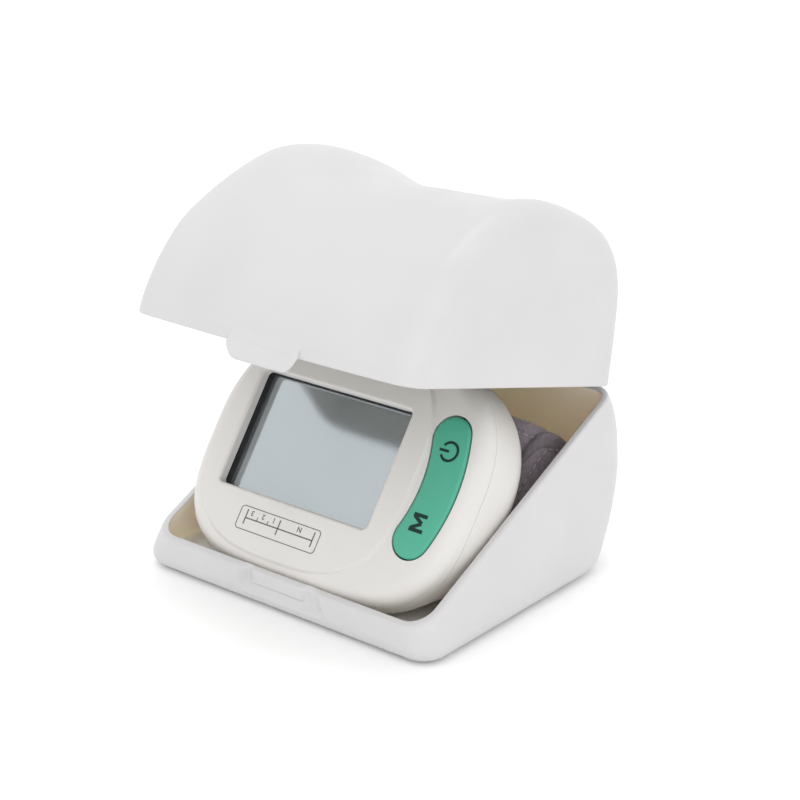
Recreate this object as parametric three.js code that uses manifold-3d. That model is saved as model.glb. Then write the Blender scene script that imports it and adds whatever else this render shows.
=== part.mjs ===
// A wrist blood pressure monitor standing in its clamshell storage case.
// Millimetres, +Z up, the front of the case towards -Y. The origin is the middle of the case's
// flat underside, on the table. Every part is one closed solid, so it can be taken apart piece by piece.

import * as THREE from 'three';
import { mergeVertices } from 'three/addons/utils/BufferGeometryUtils.js';
import Module from 'manifold-3d';

const wasm = await Module();
wasm.setup();

// Gaps that all pieces share
const seatGap = 0.3; // between two pieces that touch
const runGap = 0.35; // between a moving piece and what it passes
const overrun = 3; // how far a cutting tool runs past what it cuts
const mergeWithin = 0.00001; // points nearer than this are one point

// The monitor's body, seen square to its face: x across, s up the face, depth behind it
const cellTopRoom = 7.7; // from the upper cell to the body's top end
const boardEndRoom = 9.6; // from the circuit board to the body's lower end
const depthSpare = 1; // room in the depth beyond what board, cells and walls take
const bodyTilt = THREE.MathUtils.degToRad(54); // lean of the face from the table
const bodySquareUpper = 2.5; // exponent of the upper half's outline
const bodySquareLower = 3.5; // exponent of the lower half's outline
const shellWall = 1.8;
const shellJoin = 6; // depth of the joint between front and rear shell
const faceRound = 3.6; // radius round the front edge
const backRound = 7; // radius round the back edge
const panelRise = 0.7; // the display panel stands this proud of the shell
const panelRound = 1.1; // width of the panel's soft edge
const panelRoot = 0.8; // how far it runs into the shell
const panelSide = 4; // from the body's left side to the panel
const panelBorder = 7.9; // from the window to the panel's edge, at each side
const buttonZone = 14.8; // from the panel to the body's right side
const panelEndBorder = 3.4; // from the panel to the body's lower end
const panelSquare = 3;

// The display
const windowWidth = 41.4;
const windowHeight = 27.4;
const windowCorner = 1.6;
const lensThick = 1;
const lensLap = 1.4; // the lens reaches this far under the window's edge
const lcdThick = 1.8;
const lcdLap = 1.2; // the glass reaches this far past the window
const maskThick = 0.9; // black mask between lens and glass
const maskBorder = 0.4; // width of the black border inside the window
const holderWall = 1.2;

// The green button strip, a rocker on a curved bar
const buttonArc = 37; // radius of the bar's middle line
const buttonWidth = 9.4;
const buttonHalfAngle = THREE.MathUtils.degToRad(18.6);
const buttonSide = 8; // from the body's right side to the strip's middle
const buttonMidHeight = -0.4;
const buttonRise = 0.7; // the strip stands this proud of the shell round it
const buttonEar = 1; // side of the two ears that hold it under the shell
const buttonEarLength = 5;
const buttonEarThick = 0.7;
const buttonTilt = THREE.MathUtils.degToRad(2.2); // travel each way

// Circuit board and what it carries
const boardSide = 14; // from the body's left side to the board
const boardHeight = 36;
const boardThick = 1.2;
const boardMidHeight = -3;
const boardDepth = 8.6; // depth of the board's upper face behind the body's face
const switchSide = 4.5;
const switchBody = 1.6;
const plungerRadius = 1;
const switchReach = 11.5; // from the rocker's middle to each switch
const chipSide = 10;
const chipThick = 1.4;
const sensorSide = 8;
const sensorThick = 3;
const sensorX = -22;
const sensorHeight = -12.5;
const nippleRadius = 1.5;
const nippleLength = 3;
const buzzerRadius = 5.5;
const buzzerThick = 2.2;
const connectorWidth = 30;
const connectorDepth = 1.8;

// Two AAA cells side by side in the upper half
const cellRadius = 5.2;
const cellLength = 43.6;
const cellNubRadius = 1.9;
const cellNubLength = 0.9;
const cellApart = 0.6; // between the two cells
const cellFirstHeight = 6.6;
const cellMidX = -3;
const cellReachShare = 0.7; // how far out the cells may reach, as a share of the body's half width
const cellClear = 0.5; // between a cell's end and the pump
const contactThick = 0.5;
const contactSide = 4.6;
const springWire = 0.45;
const springLength = 3;
const springTurns = 3;
const springRadius = 2.4;

// Air system
const motorRadius = 5.2;
const motorLength = 11;
const pumpHeadLength = 5;
const pumpLap = 0.9; // how far the pump head reaches up beside the first cell
const portLength = 1;
const valveRadius = 4.2;
const valveLength = 12;
const valveX = -8;
const valveHeight = -11.5;
const hoseRadius = 1.8;
const hoseBore = 0.9;
const manifoldX = 8;
const manifoldHeight = -4;
const manifoldSide = 5;

// Battery cover in the top end of the rear shell
const coverHalfWidth = 20;
const coverFromHeight = 17.5;
const coverNear = 9; // depth where the cover starts
const coverFar = 18.5;
const coverGap = 0.35;
const coverLip = 1.6; // height of its finger ridge

// Four screws that hold the shells together
const screwRadius = 1;
const screwHeadRadius = 2;
const screwHeadHeight = 1.4;
const screwLength = 9;
const bossRadius = 2.4;
const wellRadius = 3.2; // pillar round each screw in the rear shell
const wellFloor = 1.6;
const sideScrewOut = 6.3; // from the window to the screw at its left
const sideScrewHeight = 8;

// The other three screws, as shares of the body's half width and of its reach below and above
const lowScrewShares = [[-0.63, -0.735], [0.45, -0.768]];
const highScrewShares = [0.645, 0.672];

// The case
const caseWall = 1.8;
const caseFloor = 2;
const sideClear = 0.7; // between the monitor and the case's sides
const sideDraftWidth = 3; // the tub is this much wider at its foot, each side
const frontFlareWidth = 1.3; // the front wall's foot stands this far ahead of its rim
const frontClear = 0.35; // between the monitor's lower end and the front wall
const frontHeight = 7.7; // front wall, up to the rim
const originToFront = 33.3; // the front wall's face is this far ahead of the origin
const rearRoom = 71.3; // from the front wall to the hinge
const rearHeight = 42.3; // rear wall, up to the hinge
const rearBulgeDepth = 5.2; // the rear wall's belly beyond the hinge line
const rearTuckDepth = 0.3; // the rear wall's foot stays this far ahead of the hinge line
const bellyHeight = 23.7;
const cornerRadius = 9; // the rear corners in plan, at the belly
const rimCornerRadius = 5; // the rear corners at the rim
const footCornerRadius = 14.5; // the rear corners at the foot
const frontCornerRadius = 6.5;
const footRadius = 3.4;
const floorRadius = 1.3; // between the floor and the walls, inside
const restDepth = 8.8; // depth at which the monitor's back meets the case's floor

// The lid, drawn in its own plane: u from the hinge to the front, w square to the rim
const lidHeight = 39.9;
const lidEdgeRound = 5.5; // radius between the lid's top and its sides
const lidDraftWidth = 1.1; // the lid leans in by this much at each side
const lidBowDepth = 1.8; // the front's bow in plan
const waveHeight = 5; // from the lowest to the highest part of the wave across the top
const lidOpen = THREE.MathUtils.degToRad(15.4); // the rim's rise above level at rest

// Outline of the lid's side from the hinge over the top to the front, as shares of length and height
const lidOutlineShares = [
  [0.008, 0.28], [0.025, 0.55], [0.066, 0.727], [0.135, 0.85], [0.225, 0.922], [0.33, 0.97],
  [0.46, 1], [0.575, 0.985], [0.66, 0.935], [0.74, 0.845], [0.806, 0.745], [0.874, 0.614],
  [0.922, 0.474], [0.962, 0.32], [0.988, 0.17], [0.998, 0.08],
];

// The wave starts at the first share of the lid's height, the bow at the second share of its length
const waveFromShare = 0.45;
const bowFromShare = 0.5;

// Height of the wave from the lid's left side to its right, as shares of the wave's height
const waveShares = [-0.65, 0.55, 0.65, 0.1, -0.25, -0.2, -0.15, -0.05, 0.3];

// Front catch: a tongue on the lid that drops into a scooped pocket of the tub
const tongueHalfWidth = 10.8;
const tongueSlant = 3;
const tongueDrop = 3.5;
const tongueThick = 1.1;
const pocketDepth = 0.8;
const pocketBottom = 5.2; // how far the scoop runs down
const tongueRoot = 2.6; // how far it runs up inside the lid's wall

// Hinge
const pinRadius = 1;
const pinPlay = 0.15;
const knuckleRadius = 2.5;
const lidKnuckleHalf = 11;
const tubKnuckleLength = 8;
const hingeOutset = 0.4;

// The cuff: a padded loop behind the monitor
const cuffFill = 0.2; // soft filling between the layers
const cuffHalfWidth = 31;
const cuffTopHeight = 25; // height of its upper edge on the monitor's face
const cuffSquare = 2.5;
const cuffRearClear = 1.2;
const cuffSkin = 1.4; // cloth outside the inner layers
const formerThick = 0.9;
const bladderThick = 1.2;
const bracketThick = 1.6;
const bracketHalfWidth = 19;
const bracketHalfHeight = 12;
const cuffFootRound = 2.2; // the loop's rear draws in over this height above the floor
const tailThick = 1.5;
const tailLow = 8; // the tail's lower edge above the floor

// How finely curves are cut
const ringSteps = 40;
const sideSteps = 5;
const roundSteps = 16;
const arcSteps = 4;
const cornerSteps = 3;
const lidSpans = 10;
const springSteps = 24;
const outlineSteps = 26;
const cuffSteps = 32;
const cuffLevels = 6;
const cuffPasses = 12;

const materials = {
  case: new THREE.MeshStandardMaterial({ color: 0xf1f0ee, roughness: 0.42, metalness: 0 }),
  shell: new THREE.MeshStandardMaterial({ color: 0xefece4, roughness: 0.38, metalness: 0 }),
  button: new THREE.MeshStandardMaterial({ color: 0x4fb192, roughness: 0.55, metalness: 0 }),
  lens: new THREE.MeshStandardMaterial({
    color: 0xdfe8ea, roughness: 0.06, metalness: 0, transparent: true, opacity: 0.35,
  }),
  lcd: new THREE.MeshStandardMaterial({ color: 0xa9b6b4, roughness: 0.3, metalness: 0 }),
  black: new THREE.MeshStandardMaterial({ color: 0x17181a, roughness: 0.5, metalness: 0 }),
  board: new THREE.MeshStandardMaterial({ color: 0x2a6a43, roughness: 0.5, metalness: 0 }),
  metal: new THREE.MeshStandardMaterial({ color: 0xb9bcc0, roughness: 0.3, metalness: 1 }),
  cell: new THREE.MeshStandardMaterial({ color: 0x3c4652, roughness: 0.4, metalness: 0.3 }),
  rubber: new THREE.MeshStandardMaterial({ color: 0xd8d5cb, roughness: 0.6, metalness: 0 }),
  fabric: new THREE.MeshStandardMaterial({ color: 0x77717a, roughness: 0.95, metalness: 0 }),
  hook: new THREE.MeshStandardMaterial({ color: 0x3b393d, roughness: 1, metalness: 0 }),
  former: new THREE.MeshStandardMaterial({ color: 0xe6e4dd, roughness: 0.6, metalness: 0 }),
};

// Derived length and depth of the body, set by the cells, the pump and the board in it
const cellPitch = 2 * cellRadius + cellApart;
const bodyUpper = cellFirstHeight + cellPitch + cellRadius + cellTopRoom; // up from the display's centre
const bodyLower = boardHeight / 2 - boardMidHeight + boardEndRoom; // down from the display's centre
const thickest = 2 * Math.max(cellRadius, motorRadius);
const bodyDepth = boardDepth + boardThick + thickest + shellWall + depthSpare;
const panelHalfHeight = bodyLower - panelEndBorder;
const cuffWall = 2 * cuffSkin + formerThick + bladderThick + 3 * seatGap + cuffFill;

// Derived sizes and places across the body. It is as wide as its cells or its face need.
const cellReach = Math.abs(cellMidX) + cellLength / 2 + cellNubLength + seatGap + contactThick;
const panelHalfWidth = windowWidth / 2 + panelBorder;
const bodyHalfWidth = Math.max(cellReach / cellReachShare, (panelSide + buttonZone) / 2 + panelHalfWidth);
const windowCentreX = panelHalfWidth + panelSide - bodyHalfWidth;
const buttonMidX = bodyHalfWidth - buttonSide;
const boardWidth = buttonMidX + bodyHalfWidth - boardSide;
const boardCentreX = buttonMidX - boardWidth / 2;
const pumpX = cellMidX + cellLength / 2 + cellClear + motorRadius;
const pumpLength = motorLength + seatGap + pumpHeadLength;
const pumpLowHeight = cellFirstHeight - cellRadius + pumpLap - pumpLength;
const screwPlaces = [
  ...lowScrewShares.map(([x, s]) => [x * bodyHalfWidth, s * bodyLower]),
  [windowCentreX - windowWidth / 2 - sideScrewOut, sideScrewHeight],
  [highScrewShares[0] * bodyHalfWidth, highScrewShares[1] * bodyUpper],
];

// Derived places of the case
const caseHalfWidth = bodyHalfWidth + sideClear + caseWall;
const frontY = -originToFront;
const hingeY = rearRoom - originToFront;
const rimSlope = (rearHeight - frontHeight) / rearRoom;
const rimAngle = Math.atan(rimSlope);
const lidLength = rearRoom / Math.cos(rimAngle);
const rimZ = (y) => frontHeight + (y - frontY) * rimSlope;

// Derived place of the monitor: its lower end stands on the floor and against the front wall
const sinTilt = Math.sin(bodyTilt);
const cosTilt = Math.cos(bodyTilt);
const roundLoss = faceRound * (1 - Math.SQRT1_2);
const faceZ = caseFloor + seatGap + bodyLower * sinTilt + restDepth * cosTilt;
const faceY = frontY + caseWall + frontClear + (bodyLower - roundLoss) * cosTilt - roundLoss * sinTilt;

// Turns a three.js geometry into a solid that can be cut and joined
function solid(geometry) {
  const bare = geometry.clone();
  bare.deleteAttribute('normal');
  bare.deleteAttribute('uv');
  const merged = mergeVertices(bare, mergeWithin);
  return new wasm.Manifold(new wasm.Mesh({
    numProp: 3,
    vertProperties: new Float32Array(merged.attributes.position.array),
    triVerts: new Uint32Array(merged.index.array),
  }));
}

function geometryOf(body) {
  const mesh = body.getMesh();
  const geometry = new THREE.BufferGeometry();
  geometry.setAttribute('position', new THREE.BufferAttribute(mesh.vertProperties, 3));
  geometry.setIndex(new THREE.BufferAttribute(mesh.triVerts, 1));
  geometry.computeVertexNormals();
  return geometry;
}

function piece(name, body, material) {
  const mesh = new THREE.Mesh(geometryOf(body), material);
  mesh.name = name;
  return mesh;
}

function join(...bodies) {
  return bodies.reduce((sum, body) => sum.add(body));
}

// Faces between each ring of points and the next; the ring after the last is the first again
function sideFaces(rings, spans) {
  const count = rings[0].length;
  const index = [];
  for (let ring = 0; ring < spans; ring++) {
    const near = ring * count;
    const far = ((ring + 1) % rings.length) * count;
    for (let i = 0; i < count; i++) {
      const next = (i + 1) % count;
      index.push(near + i, near + next, far + next, near + i, far + next, far + i);
    }
  }
  return index;
}

function closedBody(points, index) {
  if (signedVolume(points, index) < 0) {
    index.reverse();
  }
  const geometry = new THREE.BufferGeometry().setFromPoints(points);
  geometry.setIndex(index);
  return solid(geometry);
}

// A closed body through rings that all have the same number of points
function loft(rings) {
  const count = rings[0].length;
  const last = (rings.length - 1) * count;
  const index = sideFaces(rings, rings.length - 1);
  for (let i = 1; i < count - 1; i++) {
    index.push(0, i + 1, i, last, last + i, last + i + 1);
  }
  return closedBody(rings.flat(), index);
}

// A closed body that runs round in a loop through its sections
function hoop(sections) {
  return closedBody(sections.flat(), sideFaces(sections, sections.length));
}

function signedVolume(points, index) {
  let sum = 0;
  const normal = new THREE.Vector3();
  for (let i = 0; i < index.length; i += 3) {
    normal.crossVectors(points[index[i + 1]], points[index[i + 2]]);
    sum += points[index[i]].dot(normal);
  }
  return sum;
}

function box(lowX, highX, lowY, highY, lowZ, highZ) {
  const geometry = new THREE.BoxGeometry(highX - lowX, highY - lowY, highZ - lowZ);
  geometry.translate((lowX + highX) / 2, (lowY + highY) / 2, (lowZ + highZ) / 2);
  return solid(geometry);
}

// A round bar from one point to another
function bar(radius, from, to, steps = roundSteps) {
  const start = new THREE.Vector3(...from);
  const along = new THREE.Vector3(...to).sub(start);
  const geometry = new THREE.CylinderGeometry(radius, radius, along.length(), steps);
  geometry.translate(0, along.length() / 2, 0);
  const turn = new THREE.Quaternion();
  turn.setFromUnitVectors(new THREE.Vector3(0, 1, 0), along.clone().normalize());
  geometry.applyQuaternion(turn);
  geometry.translate(...start.toArray());
  return solid(geometry);
}

// A flat shape in the XY plane, thickened from one height to another
function slab(shape, lowZ, highZ) {
  const geometry = new THREE.ExtrudeGeometry(shape, {
    depth: highZ - lowZ, bevelEnabled: false, curveSegments: cornerSteps,
  });
  geometry.translate(0, 0, lowZ);
  return solid(geometry);
}

function roundedRect(centreX, centreY, width, height, radius) {
  const right = centreX + width / 2;
  const left = centreX - width / 2;
  const top = centreY + height / 2;
  const low = centreY - height / 2;
  const shape = new THREE.Shape();
  shape.moveTo(left + radius, low);
  shape.lineTo(right - radius, low);
  shape.absarc(right - radius, low + radius, radius, -Math.PI / 2, 0);
  shape.lineTo(right, top - radius);
  shape.absarc(right - radius, top - radius, radius, 0, Math.PI / 2);
  shape.lineTo(left + radius, top);
  shape.absarc(left + radius, top - radius, radius, Math.PI / 2, Math.PI);
  shape.lineTo(left, low + radius);
  shape.absarc(left + radius, low + radius, radius, Math.PI, Math.PI * 1.5);
  return shape;
}

// A solid whose section in the YZ plane is a polygon, running across the part
function crossPrism(points, halfWidth) {
  const shape = new THREE.Shape(points.map(([y, z]) => new THREE.Vector2(y, z)));
  const geometry = new THREE.ExtrudeGeometry(shape, { depth: 2 * halfWidth, bevelEnabled: false });
  geometry.translate(0, 0, -halfWidth);
  const turn = new THREE.Matrix4().makeBasis(
    new THREE.Vector3(0, 1, 0), new THREE.Vector3(0, 0, 1), new THREE.Vector3(1, 0, 0),
  );
  geometry.applyMatrix4(turn);
  return solid(geometry);
}

const quarter = (step) => (step / arcSteps) * (Math.PI / 2);

// The tub of the case

function rearWallY(z) {
  const belly = hingeY + rearBulgeDepth;
  const top = hingeY - hingeOutset;
  const foot = hingeY - rearTuckDepth;
  if (z < bellyHeight) {
    return belly - (belly - foot) * (1 - z / bellyHeight) ** 2;
  }
  return belly - (belly - top) * ((z - bellyHeight) / (rearHeight - bellyHeight)) ** 2;
}

// How much wider than at its sloping rim the tub is at a place below it, as a factor
function tubLean(y, z) {
  const up = z / rimZ(y);
  const share = up < 1 ? 1 - up ** 2 : 2 * (1 - up);
  return 1 + (sideDraftWidth / caseHalfWidth) * share;
}

function rearCorner(z) {
  if (z < bellyHeight) {
    return THREE.MathUtils.lerp(footCornerRadius, cornerRadius, z / bellyHeight);
  }
  const above = THREE.MathUtils.smoothstep(z, bellyHeight, rearHeight);
  return THREE.MathUtils.lerp(cornerRadius, rimCornerRadius, above);
}

function tubCorner(x, y, radius, quarterTurns) {
  const steps = ringSteps / 4;
  return Array.from({ length: steps }, (_, i) => {
    const angle = (quarterTurns + i / (steps - 1)) * (Math.PI / 2);
    return [x + radius * Math.cos(angle), y + radius * Math.sin(angle)];
  });
}

function tubSide(x, fromY, toY) {
  return Array.from({ length: sideSteps }, (_, i) => (
    [x, THREE.MathUtils.lerp(fromY, toY, (i + 1) / (sideSteps + 1))]
  ));
}

function tubRing(z, inset) {
  const front = frontCornerRadius - Math.min(inset, caseWall);
  const rear = rearCorner(z) - Math.min(inset, caseWall);
  const half = caseHalfWidth - inset;
  const flare = frontFlareWidth * Math.max(0, 1 - z / frontHeight);
  const lowY = frontY - flare + inset + front;
  const highY = rearWallY(z) - inset - rear;
  const outline = [
    ...tubCorner(half - rear, highY, rear, 0), ...tubCorner(rear - half, highY, rear, 1),
    ...tubSide(-half, highY, lowY),
    ...tubCorner(front - half, lowY, front, 2), ...tubCorner(half - front, lowY, front, 3),
    ...tubSide(half, lowY, highY),
  ];
  return outline.map(([x, y]) => new THREE.Vector3(x * tubLean(y, z), y, z));
}

function tubBody(inset, radius, floor, top) {
  const rings = [];
  for (let step = 0; step <= arcSteps; step++) {
    const angle = quarter(step);
    rings.push(tubRing(floor + radius * (1 - Math.cos(angle)), inset + radius * (1 - Math.sin(angle))));
  }
  const levels = 3 * arcSteps;
  for (let level = 1; level <= levels; level++) {
    rings.push(tubRing(floor + radius + (top - floor - radius) * (level / levels), inset));
  }
  return loft(rings);
}

function aboveRim(lift) {
  const low = frontY - rearRoom;
  const high = hingeY + rearRoom;
  return crossPrism([
    [low, rimZ(low) + lift], [high, rimZ(high) + lift],
    [high, rimZ(high) + rearRoom], [low, rimZ(high) + rearRoom],
  ], bodyHalfWidth * 2);
}

function catchPocket() {
  const half = tongueHalfWidth + runGap;
  const shape = new THREE.Shape();
  shape.moveTo(-half, frontHeight + overrun);
  shape.lineTo(-half, frontHeight - tongueDrop / 2);
  shape.quadraticCurveTo(-half, frontHeight - pocketBottom, -half / 2, frontHeight - pocketBottom);
  shape.lineTo(half / 2, frontHeight - pocketBottom);
  shape.quadraticCurveTo(half, frontHeight - pocketBottom, half, frontHeight - tongueDrop / 2);
  shape.lineTo(half, frontHeight + overrun);
  const geometry = new THREE.ExtrudeGeometry(shape, {
    depth: overrun + pocketDepth, bevelEnabled: false, curveSegments: cornerSteps,
  });
  geometry.rotateX(Math.PI / 2);
  geometry.translate(0, frontY + pocketDepth, 0);
  return solid(geometry);
}

function hingeBars(radius, fromX, toX) {
  return [-1, 1].map((side) => (
    bar(radius, [side * fromX, hingeY, rearHeight], [side * toX, hingeY, rearHeight])
  ));
}

const tubKnuckleFrom = lidKnuckleHalf + runGap;
const tubKnuckleTo = tubKnuckleFrom + tubKnuckleLength;

function makeTub() {
  const outer = tubBody(0, footRadius, 0, rearHeight + overrun);
  const inner = tubBody(caseWall, floorRadius, caseFloor, rearHeight + 2 * overrun);
  const knuckles = hingeBars(knuckleRadius, tubKnuckleFrom, tubKnuckleTo);
  const lidSwing = hingeBars(knuckleRadius + runGap, 0, tubKnuckleFrom);
  const bores = hingeBars(pinRadius + pinPlay, 0, tubKnuckleTo + overrun);
  let body = outer.subtract(inner).subtract(aboveRim(0)).subtract(catchPocket());
  lidSwing.forEach((cut) => { body = body.subtract(cut); });
  body = join(body, ...knuckles);
  bores.forEach((cut) => { body = body.subtract(cut); });
  return piece('case_tub', body, materials.case);
}

function makePin() {
  const body = bar(pinRadius, [-tubKnuckleTo, hingeY, rearHeight], [tubKnuckleTo, hingeY, rearHeight]);
  return piece('hinge_pin', body, materials.metal);
}

// The lid, made lying on its rim with the hinge at its own origin: -Y is the front, +Z is up

const lidCurve = new THREE.SplineCurve(
  lidOutlineShares.map(([u, w]) => new THREE.Vector2(u * lidLength, w * lidHeight)),
);

// The lid's side outline, drawn in by an inset; its two ends run down past the rim
function lidOutline(inset) {
  const points = [];
  const foot = 2 * overrun;
  for (let i = 0; i <= outlineSteps; i++) {
    const point = lidCurve.getPoint(i / outlineSteps);
    const tangent = lidCurve.getTangent(i / outlineSteps);
    points.push(new THREE.Vector2(point.x + tangent.y * inset, point.y - tangent.x * inset));
  }
  points.unshift(new THREE.Vector2(inset, -foot));
  points.push(new THREE.Vector2(lidLength - inset, -foot));
  return points;
}

const waveCurve = new THREE.SplineCurve(
  waveShares.map((share, i) => new THREE.Vector2(i / (waveShares.length - 1), share)),
);

function lidWave(x) {
  return waveHeight * waveCurve.getPoint(THREE.MathUtils.clamp((x / caseHalfWidth + 1) / 2, 0, 1)).y;
}

function lidRing(x, inset) {
  return lidOutline(inset).map(({ x: u, y: w }) => {
    const rise = THREE.MathUtils.smoothstep(w / lidHeight, waveFromShare, 1);
    const ahead = THREE.MathUtils.smoothstep(u / lidLength, bowFromShare, 1);
    const across = x / caseHalfWidth;
    const lean = 1 - (lidDraftWidth / caseHalfWidth) * Math.max(0, w / lidHeight);
    return new THREE.Vector3(x * lean, lidBowDepth * across ** 2 * ahead - u, w + lidWave(x) * rise);
  });
}

function lidBody(inset) {
  const half = caseHalfWidth - inset;
  const radius = lidEdgeRound - inset;
  const rings = [];
  for (let step = 0; step < arcSteps; step++) {
    const angle = quarter(step);
    rings.push(lidRing(-half + radius * (1 - Math.cos(angle)), inset + radius * (1 - Math.sin(angle))));
  }
  const flat = half - radius;
  for (let span = 0; span <= lidSpans; span++) {
    rings.push(lidRing(-flat + 2 * flat * (span / lidSpans), inset));
  }
  for (let step = arcSteps - 1; step >= 0; step--) {
    const angle = quarter(step);
    rings.push(lidRing(half - radius * (1 - Math.cos(angle)), inset + radius * (1 - Math.sin(angle))));
  }
  return loft(rings);
}

// The tongue is drawn where it lies when the case is shut, then turned back into the lid's own plane
function makeTongue() {
  const inner = frontY + pocketDepth - runGap;
  const low = frontHeight - tongueDrop;
  const shape = new THREE.Shape();
  shape.moveTo(-tongueHalfWidth, frontHeight + tongueRoot);
  shape.lineTo(-tongueHalfWidth, frontHeight);
  shape.quadraticCurveTo(-tongueHalfWidth, low, -tongueHalfWidth + tongueSlant, low);
  shape.lineTo(tongueHalfWidth - tongueSlant, low);
  shape.quadraticCurveTo(tongueHalfWidth, low, tongueHalfWidth, frontHeight);
  shape.lineTo(tongueHalfWidth, frontHeight + tongueRoot);
  const geometry = new THREE.ExtrudeGeometry(shape, {
    depth: tongueThick, bevelEnabled: false, curveSegments: cornerSteps,
  });
  geometry.rotateX(Math.PI / 2);
  geometry.translate(0, inner, 0);
  geometry.translate(0, -hingeY, -rearHeight);
  geometry.rotateX(-rimAngle);
  return solid(geometry);
}

function makeLid() {
  const foot = crossPrism([
    [-2 * lidLength, runGap], [lidLength, runGap], [lidLength, -lidLength], [-2 * lidLength, -lidLength],
  ], bodyHalfWidth * 2);
  let body = lidBody(0).subtract(lidBody(caseWall)).subtract(foot);
  const along = (radius, fromX, toX) => bar(radius, [fromX, 0, 0], [toX, 0, 0]);
  [-1, 1].forEach((side) => {
    const cut = along(
      knuckleRadius + runGap, side * lidKnuckleHalf, side * (tubKnuckleTo + runGap),
    );
    body = body.subtract(cut);
  });
  body = join(body, makeTongue(), along(knuckleRadius, -lidKnuckleHalf, lidKnuckleHalf));
  body = body.subtract(along(pinRadius + pinPlay, -tubKnuckleTo, tubKnuckleTo));
  return piece('case_lid', body, materials.case);
}

// The monitor's two shells. Their outline is a rounded oblong, squarer below than above,
// and behind the resting depth its lower end is trimmed level with the floor of the case.

function lowerReach(depth) {
  const level = (faceZ - caseFloor - seatGap - depth * cosTilt) / sinTilt;
  return Math.min(bodyLower, level);
}

function oblong(centreX, halfWidth, upper, lower, squareUpper, squareLower, height, steps = ringSteps) {
  return Array.from({ length: steps }, (_, i) => {
    const angle = (i / steps) * Math.PI * 2;
    const c = Math.cos(angle);
    const s = Math.sin(angle);
    const power = 2 / (s > 0 ? squareUpper : squareLower);
    const reach = s > 0 ? upper : lower;
    return new THREE.Vector3(
      centreX + halfWidth * Math.sign(c) * Math.abs(c) ** power,
      reach * Math.sign(s) * Math.abs(s) ** power,
      height,
    );
  });
}

function bodyRing(depth, inset) {
  return oblong(
    0, bodyHalfWidth - inset, bodyUpper - inset, lowerReach(depth) - inset,
    bodySquareUpper, bodySquareLower, -depth,
  );
}

function frontBody(inset, fromDepth) {
  const radius = faceRound - Math.min(inset, faceRound / 2);
  const face = panelRise + inset;
  const rings = [bodyRing(fromDepth, inset)];
  for (let step = 0; step <= arcSteps; step++) {
    const angle = quarter(step);
    rings.push(bodyRing(face + radius * (1 - Math.sin(angle)), inset + radius * (1 - Math.cos(angle))));
  }
  return loft(rings);
}

function rearBody(inset, fromDepth) {
  const radius = backRound - inset;
  const back = bodyDepth - inset;
  const rings = [bodyRing(fromDepth, inset)];
  const middle = back - radius;
  rings.push(bodyRing((shellJoin + middle) / 2, inset), bodyRing(middle, inset));
  for (let step = 1; step <= arcSteps; step++) {
    const angle = quarter(step);
    rings.push(bodyRing(middle + radius * Math.sin(angle), inset + radius * (1 - Math.cos(angle))));
  }
  return loft(rings);
}

function displayPanel() {
  const ring = (depth, inset) => oblong(
    windowCentreX, panelHalfWidth - inset, panelHalfHeight - inset, panelHalfHeight - inset,
    panelSquare, panelSquare, -depth,
  );
  const rings = [ring(panelRise + panelRoot, 0), ring(panelRise, 0)];
  for (let step = 1; step <= arcSteps; step++) {
    const angle = quarter(step);
    rings.push(ring(panelRise * (1 - Math.sin(angle)), panelRound * (1 - Math.cos(angle))));
  }
  return loft(rings);
}

const lensDepth = panelRise + shellWall + seatGap; // the lens lies under the shell's wall
const maskDepth = lensDepth + lensThick + seatGap;
const lcdDepth = maskDepth + maskThick + seatGap;
const lcdBack = lcdDepth + lcdThick;
const bossEnd = boardDepth - seatGap;

function windowPlate(margin, fromDepth, toDepth) {
  const radius = Math.max(windowCorner + margin, windowCorner / 2);
  const shape = roundedRect(
    windowCentreX, 0, windowWidth + 2 * margin, windowHeight + 2 * margin, radius,
  );
  return slab(shape, -toDepth, -fromDepth);
}

// The bar of the button strip, wider by a margin; its middle line is an arc
function buttonShape(margin) {
  const centreX = buttonMidX - buttonArc;
  const half = buttonWidth / 2 + margin;
  const endX = centreX + buttonArc * Math.cos(buttonHalfAngle);
  const endS = buttonArc * Math.sin(buttonHalfAngle);
  const turn = buttonHalfAngle;
  const shape = new THREE.Shape();
  shape.absarc(centreX, buttonMidHeight, buttonArc + half, -turn, turn);
  shape.absarc(endX, buttonMidHeight + endS, half, turn, turn + Math.PI);
  shape.absarc(centreX, buttonMidHeight, buttonArc - half, turn, -turn, true);
  shape.absarc(endX, buttonMidHeight - endS, half, Math.PI - turn, 2 * Math.PI - turn);
  return shape;
}

function makeFrontShell() {
  const skin = frontBody(0, shellJoin).subtract(frontBody(shellWall, shellJoin + overrun));
  const bosses = screwPlaces.map(([x, s]) => (
    bar(bossRadius, [x, s, -panelRise - shellWall / 2], [x, s, -bossEnd])
  ));
  let body = join(skin, displayPanel(), ...bosses);
  body = body.subtract(windowPlate(0, -overrun, lensDepth + overrun));
  body = body.subtract(slab(buttonShape(runGap), -bodyDepth, overrun));
  screwPlaces.forEach(([x, s]) => {
    const bore = bar(
      screwRadius + seatGap / 2, [x, s, -bossEnd - overrun], [x, s, -bossEnd + screwLength / 2],
    );
    body = body.subtract(bore);
  });
  return piece('front_shell', body, materials.shell);
}

function coverSpace(margin) {
  return box(
    cellMidX - coverHalfWidth - margin, cellMidX + coverHalfWidth + margin,
    coverFromHeight - margin, bodyUpper + coverLip + overrun, -coverFar - margin, -coverNear + margin,
  );
}

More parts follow.
